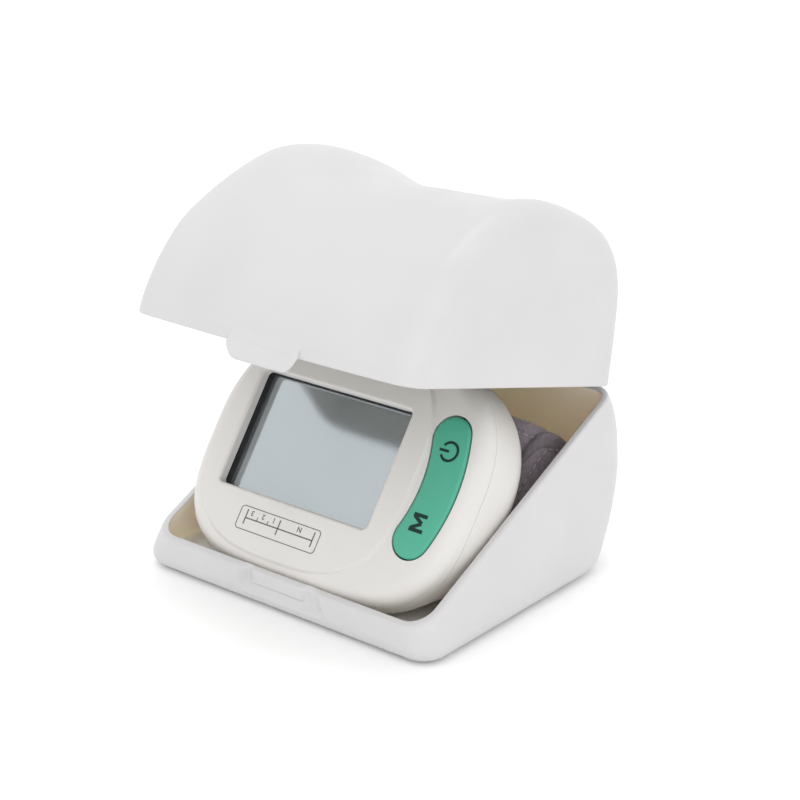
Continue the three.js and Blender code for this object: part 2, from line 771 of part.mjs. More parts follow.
function makeRearShell() {
  const outer = rearBody(0, shellJoin + seatGap);
  const inner = rearBody(shellWall, shellJoin - overrun);
  const wellTop = -(boardDepth + boardThick + seatGap);
  let body = outer.subtract(inner);
  screwPlaces.forEach(([x, s]) => {
    const pillar = bar(wellRadius, [x, s, wellTop], [x, s, -bodyDepth - overrun]).intersect(outer);
    body = body.add(pillar);
  });
  screwPlaces.forEach(([x, s]) => {
    const well = bar(screwHeadRadius + seatGap, [x, s, wellTop - wellFloor], [x, s, -bodyDepth - overrun]);
    const hole = bar(screwRadius + seatGap / 2, [x, s, wellTop + overrun], [x, s, -bodyDepth]);
    body = body.subtract(well).subtract(hole);
  });
  const airHole = bar(
    nippleRadius + seatGap,
    [manifoldX, manifoldHeight, -boardDepth], [manifoldX, manifoldHeight, -bodyDepth - overrun],
  );
  body = body.subtract(coverSpace(coverGap)).subtract(airHole);
  return piece('rear_shell', body, materials.shell);
}

function makeBatteryCover() {
  const skin = rearBody(0, shellJoin + seatGap).subtract(rearBody(shellWall, shellJoin - overrun));
  const wall = skin.intersect(coverSpace(0));
  const midDepth = (coverNear + coverFar) / 2;
  const ridgeHalf = coverHalfWidth / 3;
  const reach = bodyUpper - shellWall / 2;
  const ridge = box(
    cellMidX - ridgeHalf, cellMidX + ridgeHalf, reach - shellWall / 2, bodyUpper + coverLip / 2,
    -midDepth - coverLip / 2, -midDepth + coverLip / 2,
  );
  return piece('battery_cover', wall.add(ridge), materials.shell);
}

function makeScrews() {
  const floorTop = -(boardDepth + boardThick + seatGap) - wellFloor - seatGap;
  return screwPlaces.map(([x, s], i) => {
    const head = bar(screwHeadRadius, [x, s, floorTop], [x, s, floorTop - screwHeadHeight]);
    const shank = bar(
      screwRadius, [x, s, floorTop - screwHeadHeight / 2], [x, s, floorTop + screwLength / 2],
    );
    return piece(`shell_screw_${i + 1}`, head.add(shank), materials.metal);
  });
}

// Display stack

function makeLens() {
  return piece('window_lens', windowPlate(lensLap, lensDepth, lensDepth + lensThick), materials.lens);
}

function makeMask() {
  const frame = windowPlate(lensLap, maskDepth, maskDepth + maskThick);
  return piece('lcd_mask', frame.subtract(windowPlate(-maskBorder, 0, bodyDepth)), materials.black);
}

function makeLcd() {
  return piece('lcd_panel', windowPlate(lcdLap, lcdDepth, lcdBack), materials.lcd);
}

function makeHolder() {
  const frame = windowPlate(lcdLap + seatGap + holderWall, lcdDepth, boardDepth - seatGap);
  return piece('lcd_holder', frame.subtract(windowPlate(lcdLap + seatGap, 0, bodyDepth)), materials.former);
}

function makeConnector() {
  const low = -windowHeight / 2 - lcdLap;
  const body = box(
    windowCentreX - connectorWidth / 2, windowCentreX + connectorWidth / 2, low, low + connectorDepth,
    -(boardDepth - seatGap), -(lcdBack + seatGap),
  );
  return piece('lcd_connector', body, materials.rubber);
}

// Buttons

const buttonTop = buttonRise - panelRise;
const earTop = -(panelRise + shellWall + seatGap);
const buttonUnder = earTop - buttonEarThick / 2; // the strip's underside runs through its ears

function makeButtonStrip() {
  const strip = slab(buttonShape(0), buttonUnder, buttonTop);
  const innerX = buttonMidX - buttonWidth / 2;
  const outerX = buttonMidX + buttonWidth / 2;
  const ear = (low, high) => box(
    low, high, buttonMidHeight - buttonEarLength / 2, buttonMidHeight + buttonEarLength / 2,
    earTop - buttonEarThick, earTop,
  );
  const ears = join(ear(innerX - runGap - buttonEar, buttonMidX), ear(buttonMidX, outerX + runGap / 2));
  return piece('button_strip', strip.add(ears), materials.button);
}

function switchPlaces() {
  const turn = switchReach / buttonArc;
  return [-1, 1].map((side) => [
    buttonMidX - buttonArc + buttonArc * Math.cos(turn), buttonMidHeight + side * buttonArc * Math.sin(turn),
  ]);
}

function makeSwitches() {
  const travel = (switchReach + plungerRadius) * Math.sin(buttonTilt);
  const plungerTop = buttonUnder - seatGap - travel;
  const low = -(boardDepth - seatGap);
  return switchPlaces().map(([x, s], i) => {
    const can = box(
      x - switchSide / 2, x + switchSide / 2, s - switchSide / 2, s + switchSide / 2, low, low + switchBody,
    );
    const plunger = bar(plungerRadius, [x, s, low + switchBody / 2], [x, s, plungerTop]);
    return piece(`button_switch_${i + 1}`, can.add(plunger), materials.black);
  });
}

// Circuit board and what sits on it

function makeBoard() {
  let body = slab(
    roundedRect(boardCentreX, boardMidHeight, boardWidth, boardHeight, bossRadius),
    -(boardDepth + boardThick), -boardDepth,
  );
  screwPlaces.forEach(([x, s]) => {
    body = body.subtract(bar(bossRadius + seatGap, [x, s, 0], [x, s, -bodyDepth]));
  });
  return piece('circuit_board', body, materials.board);
}

const boardBack = boardDepth + boardThick + seatGap;

function boardBlock(name, x, s, width, height, thick, material) {
  const body = box(
    x - width / 2, x + width / 2, s - height / 2, s + height / 2, -(boardBack + thick), -boardBack,
  );
  return piece(name, body, material);
}

function makeChip() {
  return boardBlock('main_chip', cellMidX, -chipSide / 4, chipSide, chipSide, chipThick, materials.black);
}

function makeSensor() {
  const half = sensorSide / 2;
  const top = boardBack + sensorThick;
  const block = box(
    sensorX - half, sensorX + half, sensorHeight - half, sensorHeight + half, -top, -boardBack,
  );
  const nipple = bar(
    nippleRadius,
    [sensorX, sensorHeight, -(top - sensorThick / 2)], [sensorX, sensorHeight, -(top + nippleLength)],
  );
  return piece('pressure_sensor', block.add(nipple), materials.black);
}

function makeBuzzer() {
  const x = manifoldX;
  const s = boardMidHeight - boardHeight / 2 + buzzerRadius;
  const body = bar(buzzerRadius, [x, s, -boardBack], [x, s, -(boardBack + buzzerThick)]);
  return piece('buzzer', body, materials.black);
}

// Cells and their contacts

const backInside = bodyDepth - shellWall;
const cellDepth = backInside - seatGap - cellRadius;

function cellS(number) {
  return cellFirstHeight + number * cellPitch;
}

function makeCell(number) {
  const side = number === 0 ? -1 : 1;
  const s = cellS(number);
  const half = cellLength / 2;
  const can = bar(cellRadius, [cellMidX - half, s, -cellDepth], [cellMidX + half, s, -cellDepth]);
  const nub = bar(
    cellNubRadius, [cellMidX, s, -cellDepth], [cellMidX + side * (half + cellNubLength), s, -cellDepth],
  );
  return piece(`battery_${number + 1}`, can.add(nub), materials.cell);
}

// A square plate that stands before one end of a cell, a gap away from its can
function contactPlate(number, side, gap) {
  const x = cellMidX + side * (cellLength / 2 + gap + contactThick / 2);
  const s = cellS(number);
  const half = contactSide / 2;
  return box(
    x - contactThick / 2, x + contactThick / 2, s - half, s + half, -(cellDepth + half), -(cellDepth - half),
  );
}

function makeContacts() {
  return [0, 1].map((number) => {
    const plate = contactPlate(number, number === 0 ? -1 : 1, cellNubLength + seatGap);
    return piece(`battery_contact_${number + 1}`, plate, materials.metal);
  });
}

class SpringCurve extends THREE.Curve {
  getPoint(share, target = new THREE.Vector3()) {
    const angle = share * springTurns * Math.PI * 2;
    const radius = springRadius * (1 - share / 3);
    const along = share * (springLength - 2 * springWire);
    return target.set(along, radius * Math.cos(angle), radius * Math.sin(angle));
  }
}

function makeSpring(number) {
  const side = number === 0 ? 1 : -1;
  const section = new THREE.Shape();
  section.absarc(0, 0, springWire / 2, 0, Math.PI * 2);
  const geometry = new THREE.ExtrudeGeometry(section, {
    steps: springSteps, extrudePath: new SpringCurve(), bevelEnabled: false, curveSegments: cornerSteps,
  });
  if (side > 0) {
    geometry.rotateZ(Math.PI);
  }
  const reach = seatGap + springLength - springWire;
  geometry.translate(cellMidX + side * (cellLength / 2 + reach), cellS(number), -cellDepth);
  const body = solid(geometry).add(contactPlate(number, side, reach));
  return piece(`battery_spring_${number + 1}`, body, materials.metal);
}

// Air system: pump, valve, block and hoses

const pumpDepth = backInside - seatGap - motorRadius;
const headFrom = pumpLowHeight + motorLength + seatGap;
const headTo = headFrom + pumpHeadLength;
const pumpPortHeight = headFrom + hoseRadius + seatGap;
const valveDepth = backInside - seatGap - valveRadius;

function makeMotor() {
  const body = bar(
    motorRadius,
    [pumpX, pumpLowHeight, -pumpDepth], [pumpX, pumpLowHeight + motorLength, -pumpDepth],
  );
  return piece('pump_motor', body, materials.metal);
}

function makePumpHead() {
  const head = bar(motorRadius, [pumpX, headFrom, -pumpDepth], [pumpX, headTo, -pumpDepth]);
  const port = bar(
    hoseBore,
    [pumpX, pumpPortHeight, -pumpDepth], [pumpX - motorRadius - portLength, pumpPortHeight, -pumpDepth],
  );
  return piece('pump_head', head.add(port), materials.former);
}

function makeValve() {
  const half = valveLength / 2;
  const can = bar(
    valveRadius, [valveX - half, valveHeight, -valveDepth], [valveX + half, valveHeight, -valveDepth],
  );
  const port = bar(
    hoseBore, [valveX, valveHeight, -valveDepth], [valveX + half + portLength, valveHeight, -valveDepth],
  );
  return piece('exhaust_valve', can.add(port), materials.metal);
}

function makeManifold() {
  const half = manifoldSide / 2;
  const block = box(
    manifoldX - half, manifoldX + half, manifoldHeight - half, manifoldHeight + half,
    -pumpDepth - half, -pumpDepth + half,
  );
  const stem = bar(
    nippleRadius,
    [manifoldX, manifoldHeight, -pumpDepth], [manifoldX, manifoldHeight, -(bodyDepth + bracketThick)],
  );
  return piece('air_manifold', block.add(stem), materials.rubber);
}

function makeHose(name, from, to, bend) {
  const path = new THREE.CubicBezierCurve3(
    new THREE.Vector3(...from), new THREE.Vector3(from[0] + bend, from[1], from[2]),
    new THREE.Vector3(to[0] - bend, to[1], to[2]), new THREE.Vector3(...to),
  );
  const section = new THREE.Shape();
  section.absarc(0, 0, hoseRadius, 0, Math.PI * 2);
  const bore = new THREE.Path();
  bore.absarc(0, 0, hoseBore + seatGap, 0, Math.PI * 2);
  section.holes.push(bore);
  const geometry = new THREE.ExtrudeGeometry(section, {
    steps: 2 * arcSteps, extrudePath: path, bevelEnabled: false, curveSegments: 2 * cornerSteps,
  });
  return piece(name, solid(geometry), materials.rubber);
}

function makeHoses() {
  const right = manifoldX + manifoldSide / 2 + seatGap;
  const left = manifoldX - manifoldSide / 2 - seatGap;
  const pumpSide = pumpX - motorRadius - seatGap;
  const valveSide = valveX + valveLength / 2 + seatGap;
  const pumpEnds = [[right, manifoldHeight, -pumpDepth], [pumpSide, pumpPortHeight, -pumpDepth]];
  const valveEnds = [[valveSide, valveHeight, -valveDepth], [left, manifoldHeight, -pumpDepth]];
  return [
    makeHose('pump_hose', ...pumpEnds, (pumpSide - right) / 2),
    makeHose('valve_hose', ...valveEnds, (left - valveSide) / 2),
  ];
}

// Bracket that carries the cuff on the back of the monitor

function makeBracket() {
  const shape = roundedRect(0, 0, 2 * bracketHalfWidth, 2 * bracketHalfHeight, bossRadius);
  const plate = slab(shape, -(bodyDepth + seatGap + bracketThick), -(bodyDepth + seatGap));
  const airHole = bar(
    nippleRadius + seatGap, [manifoldX, manifoldHeight, 0], [manifoldX, manifoldHeight, -2 * bodyDepth],
  );
  return piece('cuff_bracket', plate.subtract(airHole), materials.former);
}

// The cuff: a padded loop between the monitor's back and the case's rear wall, made level by level

const cuffFrontDepth = bodyDepth + seatGap + bracketThick + seatGap;
const cuffFoot = caseFloor + seatGap;

// The back plane of the bracket at a height, in the case's frame
function cuffFrontY(z) {
  const s = (z - faceZ + cuffFrontDepth * cosTilt) / sinTilt;
  return faceY + s * cosTilt + cuffFrontDepth * sinTilt;
}

function cuffRing(z, inset) {
  const front = cuffFrontY(z) + inset;
  const rear = Math.min(rearWallY(z), rearWallY(bellyHeight)) - caseWall - cuffRearClear - inset;
  const foot = THREE.MathUtils.clamp(1 - (z - cuffFoot) / cuffFootRound, 0, 1);
  const half = (rear - foot * cuffRearClear - front) / 2;
  const ring = oblong(0, cuffHalfWidth - inset, half, half, cuffSquare, cuffSquare, z, cuffSteps);
  ring.forEach((point) => { point.y += front + half; });
  return ring;
}

function cuffBody(inset) {
  const low = cuffFoot + cuffFootRound;
  const high = rearHeight + overrun;
  const rings = [cuffRing(cuffFoot - overrun, inset), cuffRing(cuffFoot, inset)];
  for (let level = 0; level <= cuffLevels; level++) {
    rings.push(cuffRing(low + (high - low) * (level / cuffLevels), inset));
  }
  return loft(rings);
}

// Everything beyond a height on the monitor's face, in the case's frame
function beyondFace(level) {
  const from = (depth) => [
    faceY + level * cosTilt + depth * sinTilt, faceZ + level * sinTilt - depth * cosTilt,
  ];
  const [nearY, nearZ] = from(-rearRoom);
  const [farY, farZ] = from(2 * rearRoom);
  return crossPrism([
    [nearY, nearZ], [farY, farZ], [farY + rearRoom * cosTilt, farZ + rearRoom * sinTilt],
    [nearY + rearRoom * cosTilt, nearZ + rearRoom * sinTilt],
  ], bodyHalfWidth * 2);
}

const pocketTop = cuffTopHeight - cuffWall / 2; // the pocket for the inner layers ends below the round top

// One layer of the loop between two insets, from a height up to a level on the monitor's face
function cuffLayer(outerInset, innerInset, low, topLevel) {
  const below = box(-bodyDepth * 2, bodyDepth * 2, frontY, rearRoom, -rearRoom, low);
  return cuffBody(outerInset).subtract(cuffBody(innerInset)).subtract(below).subtract(beyondFace(topLevel));
}

// The height at which a point of the loop's wall lies on a level of the monitor's face
function cuffHeight(spoke, level, inset) {
  let z = faceZ;
  for (let pass = 0; pass < cuffPasses; pass++) {
    z = faceZ + (level - (cuffRing(z, inset)[spoke].y - faceY) * cosTilt) / sinTilt;
  }
  return z;
}

// The padded wall's section at one point of the loop: up its outside, over the round top, down inside
function cuffSection(spoke) {
  const round = cuffWall / 2;
  const column = (inset, level) => {
    const high = cuffHeight(spoke, level, inset);
    return Array.from({ length: cuffLevels + 1 }, (_, i) => (
      cuffRing(cuffFoot + (high - cuffFoot) * (i / cuffLevels), inset)[spoke]
    ));
  };
  const crown = [];
  for (let step = 1; step < 2 * arcSteps; step++) {
    const angle = quarter(step);
    const inset = round - round * Math.cos(angle);
    const level = cuffTopHeight - round + round * Math.sin(angle);
    crown.push(cuffRing(cuffHeight(spoke, level, inset), inset)[spoke]);
  }
  const shoulder = cuffTopHeight - round;
  return [...column(0, shoulder), ...crown, ...column(cuffWall, shoulder).reverse()];
}

function makeSleeve() {
  const wall = hoop(Array.from({ length: cuffSteps }, (_, spoke) => cuffSection(spoke)));
  const pocket = cuffLayer(cuffSkin, cuffWall - cuffSkin, cuffFoot - overrun, pocketTop);
  return piece('cuff_sleeve', wall.subtract(pocket), materials.fabric);
}

function makeFormer() {
  const from = cuffSkin + seatGap;
  const body = cuffLayer(from, from + formerThick, cuffFoot, pocketTop - seatGap);
  return piece('cuff_former', body, materials.former);
}

function makeBladder() {
  const from = cuffSkin + seatGap + formerThick + seatGap;
  const body = cuffLayer(from, from + bladderThick, cuffFoot, pocketTop - seatGap);
  return piece('cuff_bladder', body, materials.rubber);
}

function makeTail() {
  const wrap = cuffLayer(-seatGap - tailThick, -seatGap, caseFloor + tailLow, cuffTopHeight - cuffWall / 2);
  const low = caseFloor + tailLow;
  const rightHalf = box(0, 2 * cuffHalfWidth, frontY, hingeY - cornerRadius, low, rearHeight);
  const behindBracket = crossPrism([
    [cuffFrontY(low) + cuffWall, low], [2 * rearRoom, low],
    [2 * rearRoom, rearHeight], [cuffFrontY(rearHeight) + cuffWall, rearHeight],
  ], 2 * cuffHalfWidth);
  return piece('cuff_tail', wrap.intersect(rightHalf).intersect(behindBracket), materials.hook);
}

const monitor = new THREE.Group();
monitor.add(
  makeFrontShell(), makeRearShell(), makeBatteryCover(), ...makeScrews(),
  makeLens(), makeMask(), makeLcd(), makeHolder(), makeConnector(),
  makeButtonStrip(), ...makeSwitches(), makeBoard(), makeChip(), makeSensor(), makeBuzzer(),
  makeCell(0), makeCell(1), ...makeContacts(), makeSpring(0), makeSpring(1),
  makeMotor(), makePumpHead(), makeValve(), makeManifold(), ...makeHoses(), makeBracket(),
);
monitor.position.set(0, faceY, faceZ);
monitor.rotation.x = bodyTilt;

const lid = new THREE.Group();
lid.add(makeLid());
lid.position.set(0, hingeY, rearHeight);
lid.rotation.x = -lidOpen;

const device = new THREE.Group();
device.name = 'wrist_monitor_in_case';
device.add(makeTub(), makePin(), lid, monitor, makeSleeve(), makeFormer(), makeBladder(), makeTail());

export default device;
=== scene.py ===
# %% [markdown]
# ## A wrist monitor in its storage case
#
# The object is a small moulded clamshell case that stands open. A wrist blood pressure monitor
# leans in it with its face tilted up, and the padded cuff shows behind it. Everything here is
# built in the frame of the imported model, so a piece only needs its own shape and finish.

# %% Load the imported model
import math

import bpy
import bmesh
from mathutils import Matrix, Vector


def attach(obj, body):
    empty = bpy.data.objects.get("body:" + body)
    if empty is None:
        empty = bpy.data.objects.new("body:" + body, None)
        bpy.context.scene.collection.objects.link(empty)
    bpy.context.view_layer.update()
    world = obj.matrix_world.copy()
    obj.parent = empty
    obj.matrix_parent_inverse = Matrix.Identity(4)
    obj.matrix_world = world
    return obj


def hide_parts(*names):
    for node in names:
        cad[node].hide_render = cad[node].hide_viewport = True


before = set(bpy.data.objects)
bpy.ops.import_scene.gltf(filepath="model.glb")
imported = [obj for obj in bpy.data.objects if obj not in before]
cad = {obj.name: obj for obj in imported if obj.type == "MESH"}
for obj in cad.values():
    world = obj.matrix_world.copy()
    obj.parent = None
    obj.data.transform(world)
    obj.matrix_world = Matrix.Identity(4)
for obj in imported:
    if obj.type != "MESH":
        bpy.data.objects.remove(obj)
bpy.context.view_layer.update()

print("pieces in the packed model:", len(cad))

# %% [markdown]
# ### The camera
#
# The photograph is taken with a long lens from the right front and a little above, so the near and
# far edges of the case keep almost the same size. A 90 mm lens on a 36 mm sensor gives that look.

# %% Place the camera
VIEW_TURN = math.radians(39.24)
VIEW_RISE = math.radians(20.56)
VIEW_FROM = (0.27418, -0.32655, 0.20079)


def add_object(name, data):
    made = bpy.data.objects.new(name, data)
    bpy.context.scene.collection.objects.link(made)
    return made


camera_data = bpy.data.cameras.new("photo_camera")
camera_data.lens, camera_data.sensor_width = 90, 36
camera_data.clip_start = 0.01
camera = add_object("photo_camera", camera_data)
camera.location = VIEW_FROM
looks_along = Vector((
    -math.sin(VIEW_TURN) * math.cos(VIEW_RISE),
    math.cos(VIEW_TURN) * math.cos(VIEW_RISE),
    -math.sin(VIEW_RISE),
))
camera.rotation_euler = looks_along.to_track_quat("-Z", "Y").to_euler()
bpy.context.scene.camera = camera
print("camera looks along", [round(c, 3) for c in looks_along])

# %% [markdown]
# ### Floor and light
#
# The photograph is a product shot on white paper: the surroundings are white, the light is soft and
# comes from above, and a thin shadow lies under the case. A large pale sheet stands for the paper.
# Three broad lamps give the white plastic its gentle change of tone from face to face.

# %% Lay the pale paper
PAPER_HALF = 4
PAPER_DROP = 0.0005

corners = [(x * PAPER_HALF, y * PAPER_HALF, 0) for x, y in ((-1, -1), (1, -1), (1, 1), (-1, 1))]
paper_mesh = bpy.data.meshes.new("paper")
paper_mesh.from_pydata(corners, [], [(0, 1, 2, 3)])
paper = add_object("paper", paper_mesh)
paper.location.z = -PAPER_DROP
paper_finish = bpy.data.materials.new("pale_paper")
paper_finish.use_nodes = True
paper_shader = paper_finish.node_tree.nodes["Principled BSDF"]
paper_shader.inputs["Base Color"].default_value = (0.97, 0.97, 0.97, 1)
paper_shader.inputs["Roughness"].default_value = 0.9
paper_mesh.materials.append(paper_finish)
print("paper laid")

# %% Hang the lamps
MIDDLE = Vector((0, 0, 0.045))


def hang_lamp(name, place, size, power):
    lamp_data = bpy.data.lights.new(name, "AREA")
    lamp_data.shape = "RECTANGLE"
    lamp_data.size, lamp_data.size_y = size
    lamp_data.energy = power
    lamp = add_object(name, lamp_data)
    lamp.location = place
    lamp.rotation_euler = (MIDDLE - lamp.location).to_track_quat("-Z", "Y").to_euler()


hang_lamp("sky_panel", (-0.1, 0.14, 1.2), (0.3, 0.3), 1.6)
hang_lamp("right_panel", (1.1, -0.25, 0.5), (0.8, 0.9), 0.5)
hang_lamp("camera_panel", (0.62, -0.62, 0.40), (0.5, 0.5), 0.6)

room = bpy.data.worlds.new("white_room")
room.use_nodes = True
room_light = room.node_tree.nodes["Background"].inputs
room_light["Color"].default_value = (1, 1, 1, 1)
room_light["Strength"].default_value = 1.18
bpy.context.scene.world = room
bpy.context.scene.view_settings.view_transform = "Standard"
print("lamps:", [lamp.name for lamp in bpy.data.lights])

# %% [markdown]
# ### Finishes
#
# Every finish is made of shader nodes that read the object's own coordinates in metres, so a grain
# of half a millimetre is half a millimetre on each piece. Constant values sit on the shader's own
# sockets. One small helper wires the parts that most finishes share.

# %% A helper that wires a finish
class Finish:
    def __init__(self, name, colour, roughness, constants=()):
        self.material = bpy.data.materials.new(name)
        self.material.use_nodes = True
        self.tree = self.material.node_tree
        self.shader = self.tree.nodes["Principled BSDF"]
        self.fill(self.shader, {"Base Color": (*colour, 1), "Roughness": roughness})
        self.fill(self.shader, dict(constants))
        self.place = self.add("TexCoord", "Object")
        self.last_bump = {}

    def fill(self, node, values):
        """Give each named socket a constant, or wire it to another node's output."""
        for name, value in values.items():
            if hasattr(value, "links"):
                self.tree.links.new(value, node.inputs[name])
            else:
                node.inputs[name].default_value = value

    def add(self, kind, output, values=(), **options):
        node = self.tree.nodes.new("ShaderNode" + kind)
        for option, value in options.items():
            setattr(node, option, value)
        self.fill(node, dict(values))
        return node.outputs[output]

    def noise(self, size, detail=3.0, stretch=None):
        place = self.place
        if stretch:
            place = self.add("Mapping", "Vector", {"Vector": place, "Scale": stretch})
        return self.add("TexNoise", "Fac", {"Vector": place, "Scale": 1 / size, "Detail": detail})

    def spread(self, value, low, high, from_low=0.3, from_high=0.7):
        return self.add("MapRange", "Result", {
            "Value": value, "From Min": from_low, "From Max": from_high,
            "To Min": low, "To Max": high})

    def blend(self, factor, *tones):
        one, other = [tone if hasattr(tone, "links") else (*tone, 1) for tone in tones]
        return self.add("Mix", 2, {"Factor": factor, 6: one, 7: other}, data_type="RGBA")

    def bump(self, height, depth, strength):
        values = {"Strength": strength, "Distance": depth, "Height": height, **self.last_bump}
        self.last_bump = {"Normal": self.add("Bump", "Normal", values)}
        self.fill(self.shader, self.last_bump)

    def wear(self, colour, roughness):
        self.fill(self.shader, {"Base Color": colour, "Roughness": roughness})


def shade(colour, factor):
    return tuple(channel * factor for channel in colour)


print("finish helper ready")

# %% [markdown]
# #### Moulded plastic
#
# An injection moulded shell looks plain, yet it is never flat. The mould leaves a fine grain, the
# gloss drifts a little where the plastic cooled at its own pace, and sharp convex edges are a touch
# lighter. The grain and the drift are each one noise: a broad one for the tone and the gloss, a fine
# one for the grain.

# %% Make the moulded plastics
COOLING, GLOSS_PATCH, SINK = 0.022, 0.006, 0.009
DRIFT = 0.03


def moulded_plastic(name, colour, gloss=0.4, grain=0.00045, milky=0.0):
    depths = {"Subsurface Radius": (1.0, 0.72, 0.5), "Subsurface Scale": 0.003}
    made = Finish(name, colour, gloss, {"Subsurface Weight": milky, **depths} if milky else ())
    cooling = made.spread(made.noise(COOLING, 2.0), 0, 1)
    tone = made.blend(cooling, shade(colour, 1 - DRIFT), shade(colour, 1 + DRIFT / 3))
    # Sharp convex edges, found by their pointiness, are blended to a slightly lighter tone.
    lighter_convex_edges = made.spread(made.add("NewGeometry", "Pointiness"), 0, 0.5, 0.52, 0.62)
    made.wear(
        made.blend(lighter_convex_edges, tone, shade(colour, 1 + DRIFT / 2)),
        made.spread(made.noise(GLOSS_PATCH, 3.0), gloss - 0.05, gloss + 0.06))
    made.bump(made.noise(grain, 2.0), 0.000006, 0.35)
    made.bump(made.noise(SINK, 1.0), 0.00002, 0.12)
    return made.material


case_white = moulded_plastic("case_white", (0.582, 0.574, 0.577), gloss=0.42)
# The tub's inside is the same plastic as case_white, painted brighter and warmer: a painted glow of
# light passing through the wall, on top of the real subsurface scattering that milky adds.
case_inside = moulded_plastic("case_inside", (0.93, 0.885, 0.82), gloss=0.5, milky=0.8)
# The lid's inside is the same plastic as case_white, painted darker and warmer: painted shade for
# the inside of the lid, which the display's glass mirrors as a dark wedge.
lid_inside = moulded_plastic("lid_inside", (0.57, 0.555, 0.51), gloss=0.5)
monitor_white = moulded_plastic("monitor_white", (0.65, 0.633, 0.61), gloss=0.36)
key_green = moulded_plastic("key_green", (0.064, 0.378, 0.256), gloss=0.5, grain=0.0003)
bracket_cream = moulded_plastic("bracket_cream", (0.72, 0.70, 0.65), gloss=0.5)
bezel_black = moulded_plastic("bezel_black", (0.012, 0.013, 0.014), gloss=0.35)
part_black = moulded_plastic("part_black", (0.022, 0.022, 0.024), gloss=0.55)
hose_rubber = moulded_plastic("hose_rubber", (0.60, 0.58, 0.52), gloss=0.62, grain=0.0008)
former_plastic = moulded_plastic("former_plastic", (0.70, 0.69, 0.65), gloss=0.45)
print("plastics made")

# %% [markdown]
# #### Display, metal, board and cells
#
# The display is a clear pane over a grey reflecting glass, which mirrors the lid's inside as a dark
# wedge. The hidden pieces get real finishes as well, because the battery cover opens.

# %% Make the display's finishes
def smooth_plate(name, colour, gloss, constants, sizes, tones):
    """A plate that is smooth all over, with a slight drift in its tone and its gloss."""
    made = Finish(name, colour, gloss, constants)
    made.wear(
        made.blend(made.spread(made.noise(sizes[0], 1.0), 0, 1), *tones),
        made.spread(made.noise(sizes[1], 2.0), 0.085, 0.11))
    return made.material


lcd_finish = smooth_plate(
    "display_glass", (0.55, 0.6, 0.63), 0.06, {"Metallic": 0.88}, (0.03, 0.004),
    [(0.485, 0.53, 0.555), (0.515, 0.56, 0.585)])
pane_finish = smooth_plate(
    "clear_pane", (0.3, 0.33, 0.35), 0.04, {"Alpha": 0.05}, (0.02, 0.01),
    [(0.28, 0.31, 0.33), (0.32, 0.35, 0.37)])
print("display finishes made")


# %% Make the metals, the board and the cells
def bare_metal(name, colour, gloss, streak):
    made = Finish(name, colour, gloss, {"Metallic": 1})
    drawn = made.noise(0.0008, 3.0, streak)
    made.wear(
        made.blend(made.spread(drawn, 0, 1), shade(colour, 0.8), colour),
        made.spread(drawn, gloss - 0.08, gloss + 0.1))
    made.bump(drawn, 0.000006, 0.4)
    return made.material


def board_green():
    made = Finish("board_green", (0.02, 0.11, 0.05), 0.4)
    tracks = made.add("TexBrick", "Color", {
        "Vector": made.place, "Scale": 260, "Mortar Size": 0.06, "Mortar": (0.05, 0.2, 0.1, 1),
        "Color1": (0.018, 0.10, 0.045, 1), "Color2": (0.024, 0.13, 0.06, 1)})
    made.fill(made.shader, {"Base Color": tracks})
    made.bump(tracks.node.outputs["Fac"], 0.00003, 0.5)
    return made.material


steel = bare_metal("bright_steel", (0.62, 0.62, 0.63), 0.28, (1, 6, 6))
can_metal = bare_metal("can_metal", (0.5, 0.5, 0.52), 0.32, (6, 1, 1))
board_finish = board_green()
cell_wrap = moulded_plastic("cell_wrap", (0.05, 0.07, 0.10), gloss=0.3, grain=0.001)
print("metals, board and cell finishes made")

# %% [markdown]
# #### Cuff cloth
#
# The cuff is covered with brushed loop cloth in a grey mauve. Three layers make it: the knit's rows
# and wales as two crossing waves, the brushed pile as noise drawn out one way, and broad patches
# where the pile lies differently. A sheen brightens the cloth where it turns away.

# %% Make the cloths
def brushed_cloth(name, colour, pile=1.0):
    made = Finish(name, colour, 0.92, {"Sheen Weight": 0.35, "Sheen Roughness": 0.45})
    patches = made.noise(0.006, 3.0)
    fibres = made.noise(0.0005, 5.0, (1, 1, 0.35))
    tone = made.blend(
        made.spread(patches, 0, 1, 0.35, 0.65), shade(colour, 0.78), shade(colour, 1.22))
    made.wear(
        made.blend(made.spread(fibres, 0, 0.6), tone, shade(colour, 1.65)),
        made.spread(patches, 0.82, 0.98))
    rows = {"Vector": made.place, "Scale": 360, "Distortion": 1.2, "Detail": 1.0}
    knit = [made.add("TexWave", "Fac", rows, bands_direction=way) for way in ("X", "Z")]
    crossing = made.add("Math", "Value", {0: knit[0], 1: knit[1]}, operation="MULTIPLY")
    made.bump(crossing, 0.00012, 0.5)
    made.bump(fibres, 0.00022 * pile, 0.8)
    return made.material


cuff_cloth = brushed_cloth("cuff_cloth", (0.235, 0.20, 0.225))
binding_cloth = brushed_cloth("binding_cloth", (0.17, 0.145, 0.165), pile=0.4)
thread = brushed_cloth("thread", (0.42, 0.38, 0.40), pile=0.2)
print("cloths made")

# %% [markdown]
# ### Mesh helpers
#
# Most pieces are lofts: a row of outlines with equal numbers of points, joined by faces. The
# helpers work in millimetres and turn the points into the model's frame in metres at the end.

# %% Helpers for outlines and lofts
MM = 0.001


def smooth_step(value, low, high):
    share = min(max((value - low) / (high - low), 0), 1)
    return share * share * (3 - 2 * share)


def powered(value, power):
    return math.copysign(abs(value) ** power, value)


def full_turn(steps):
    return [step / steps * 2 * math.pi for step in range(steps)]


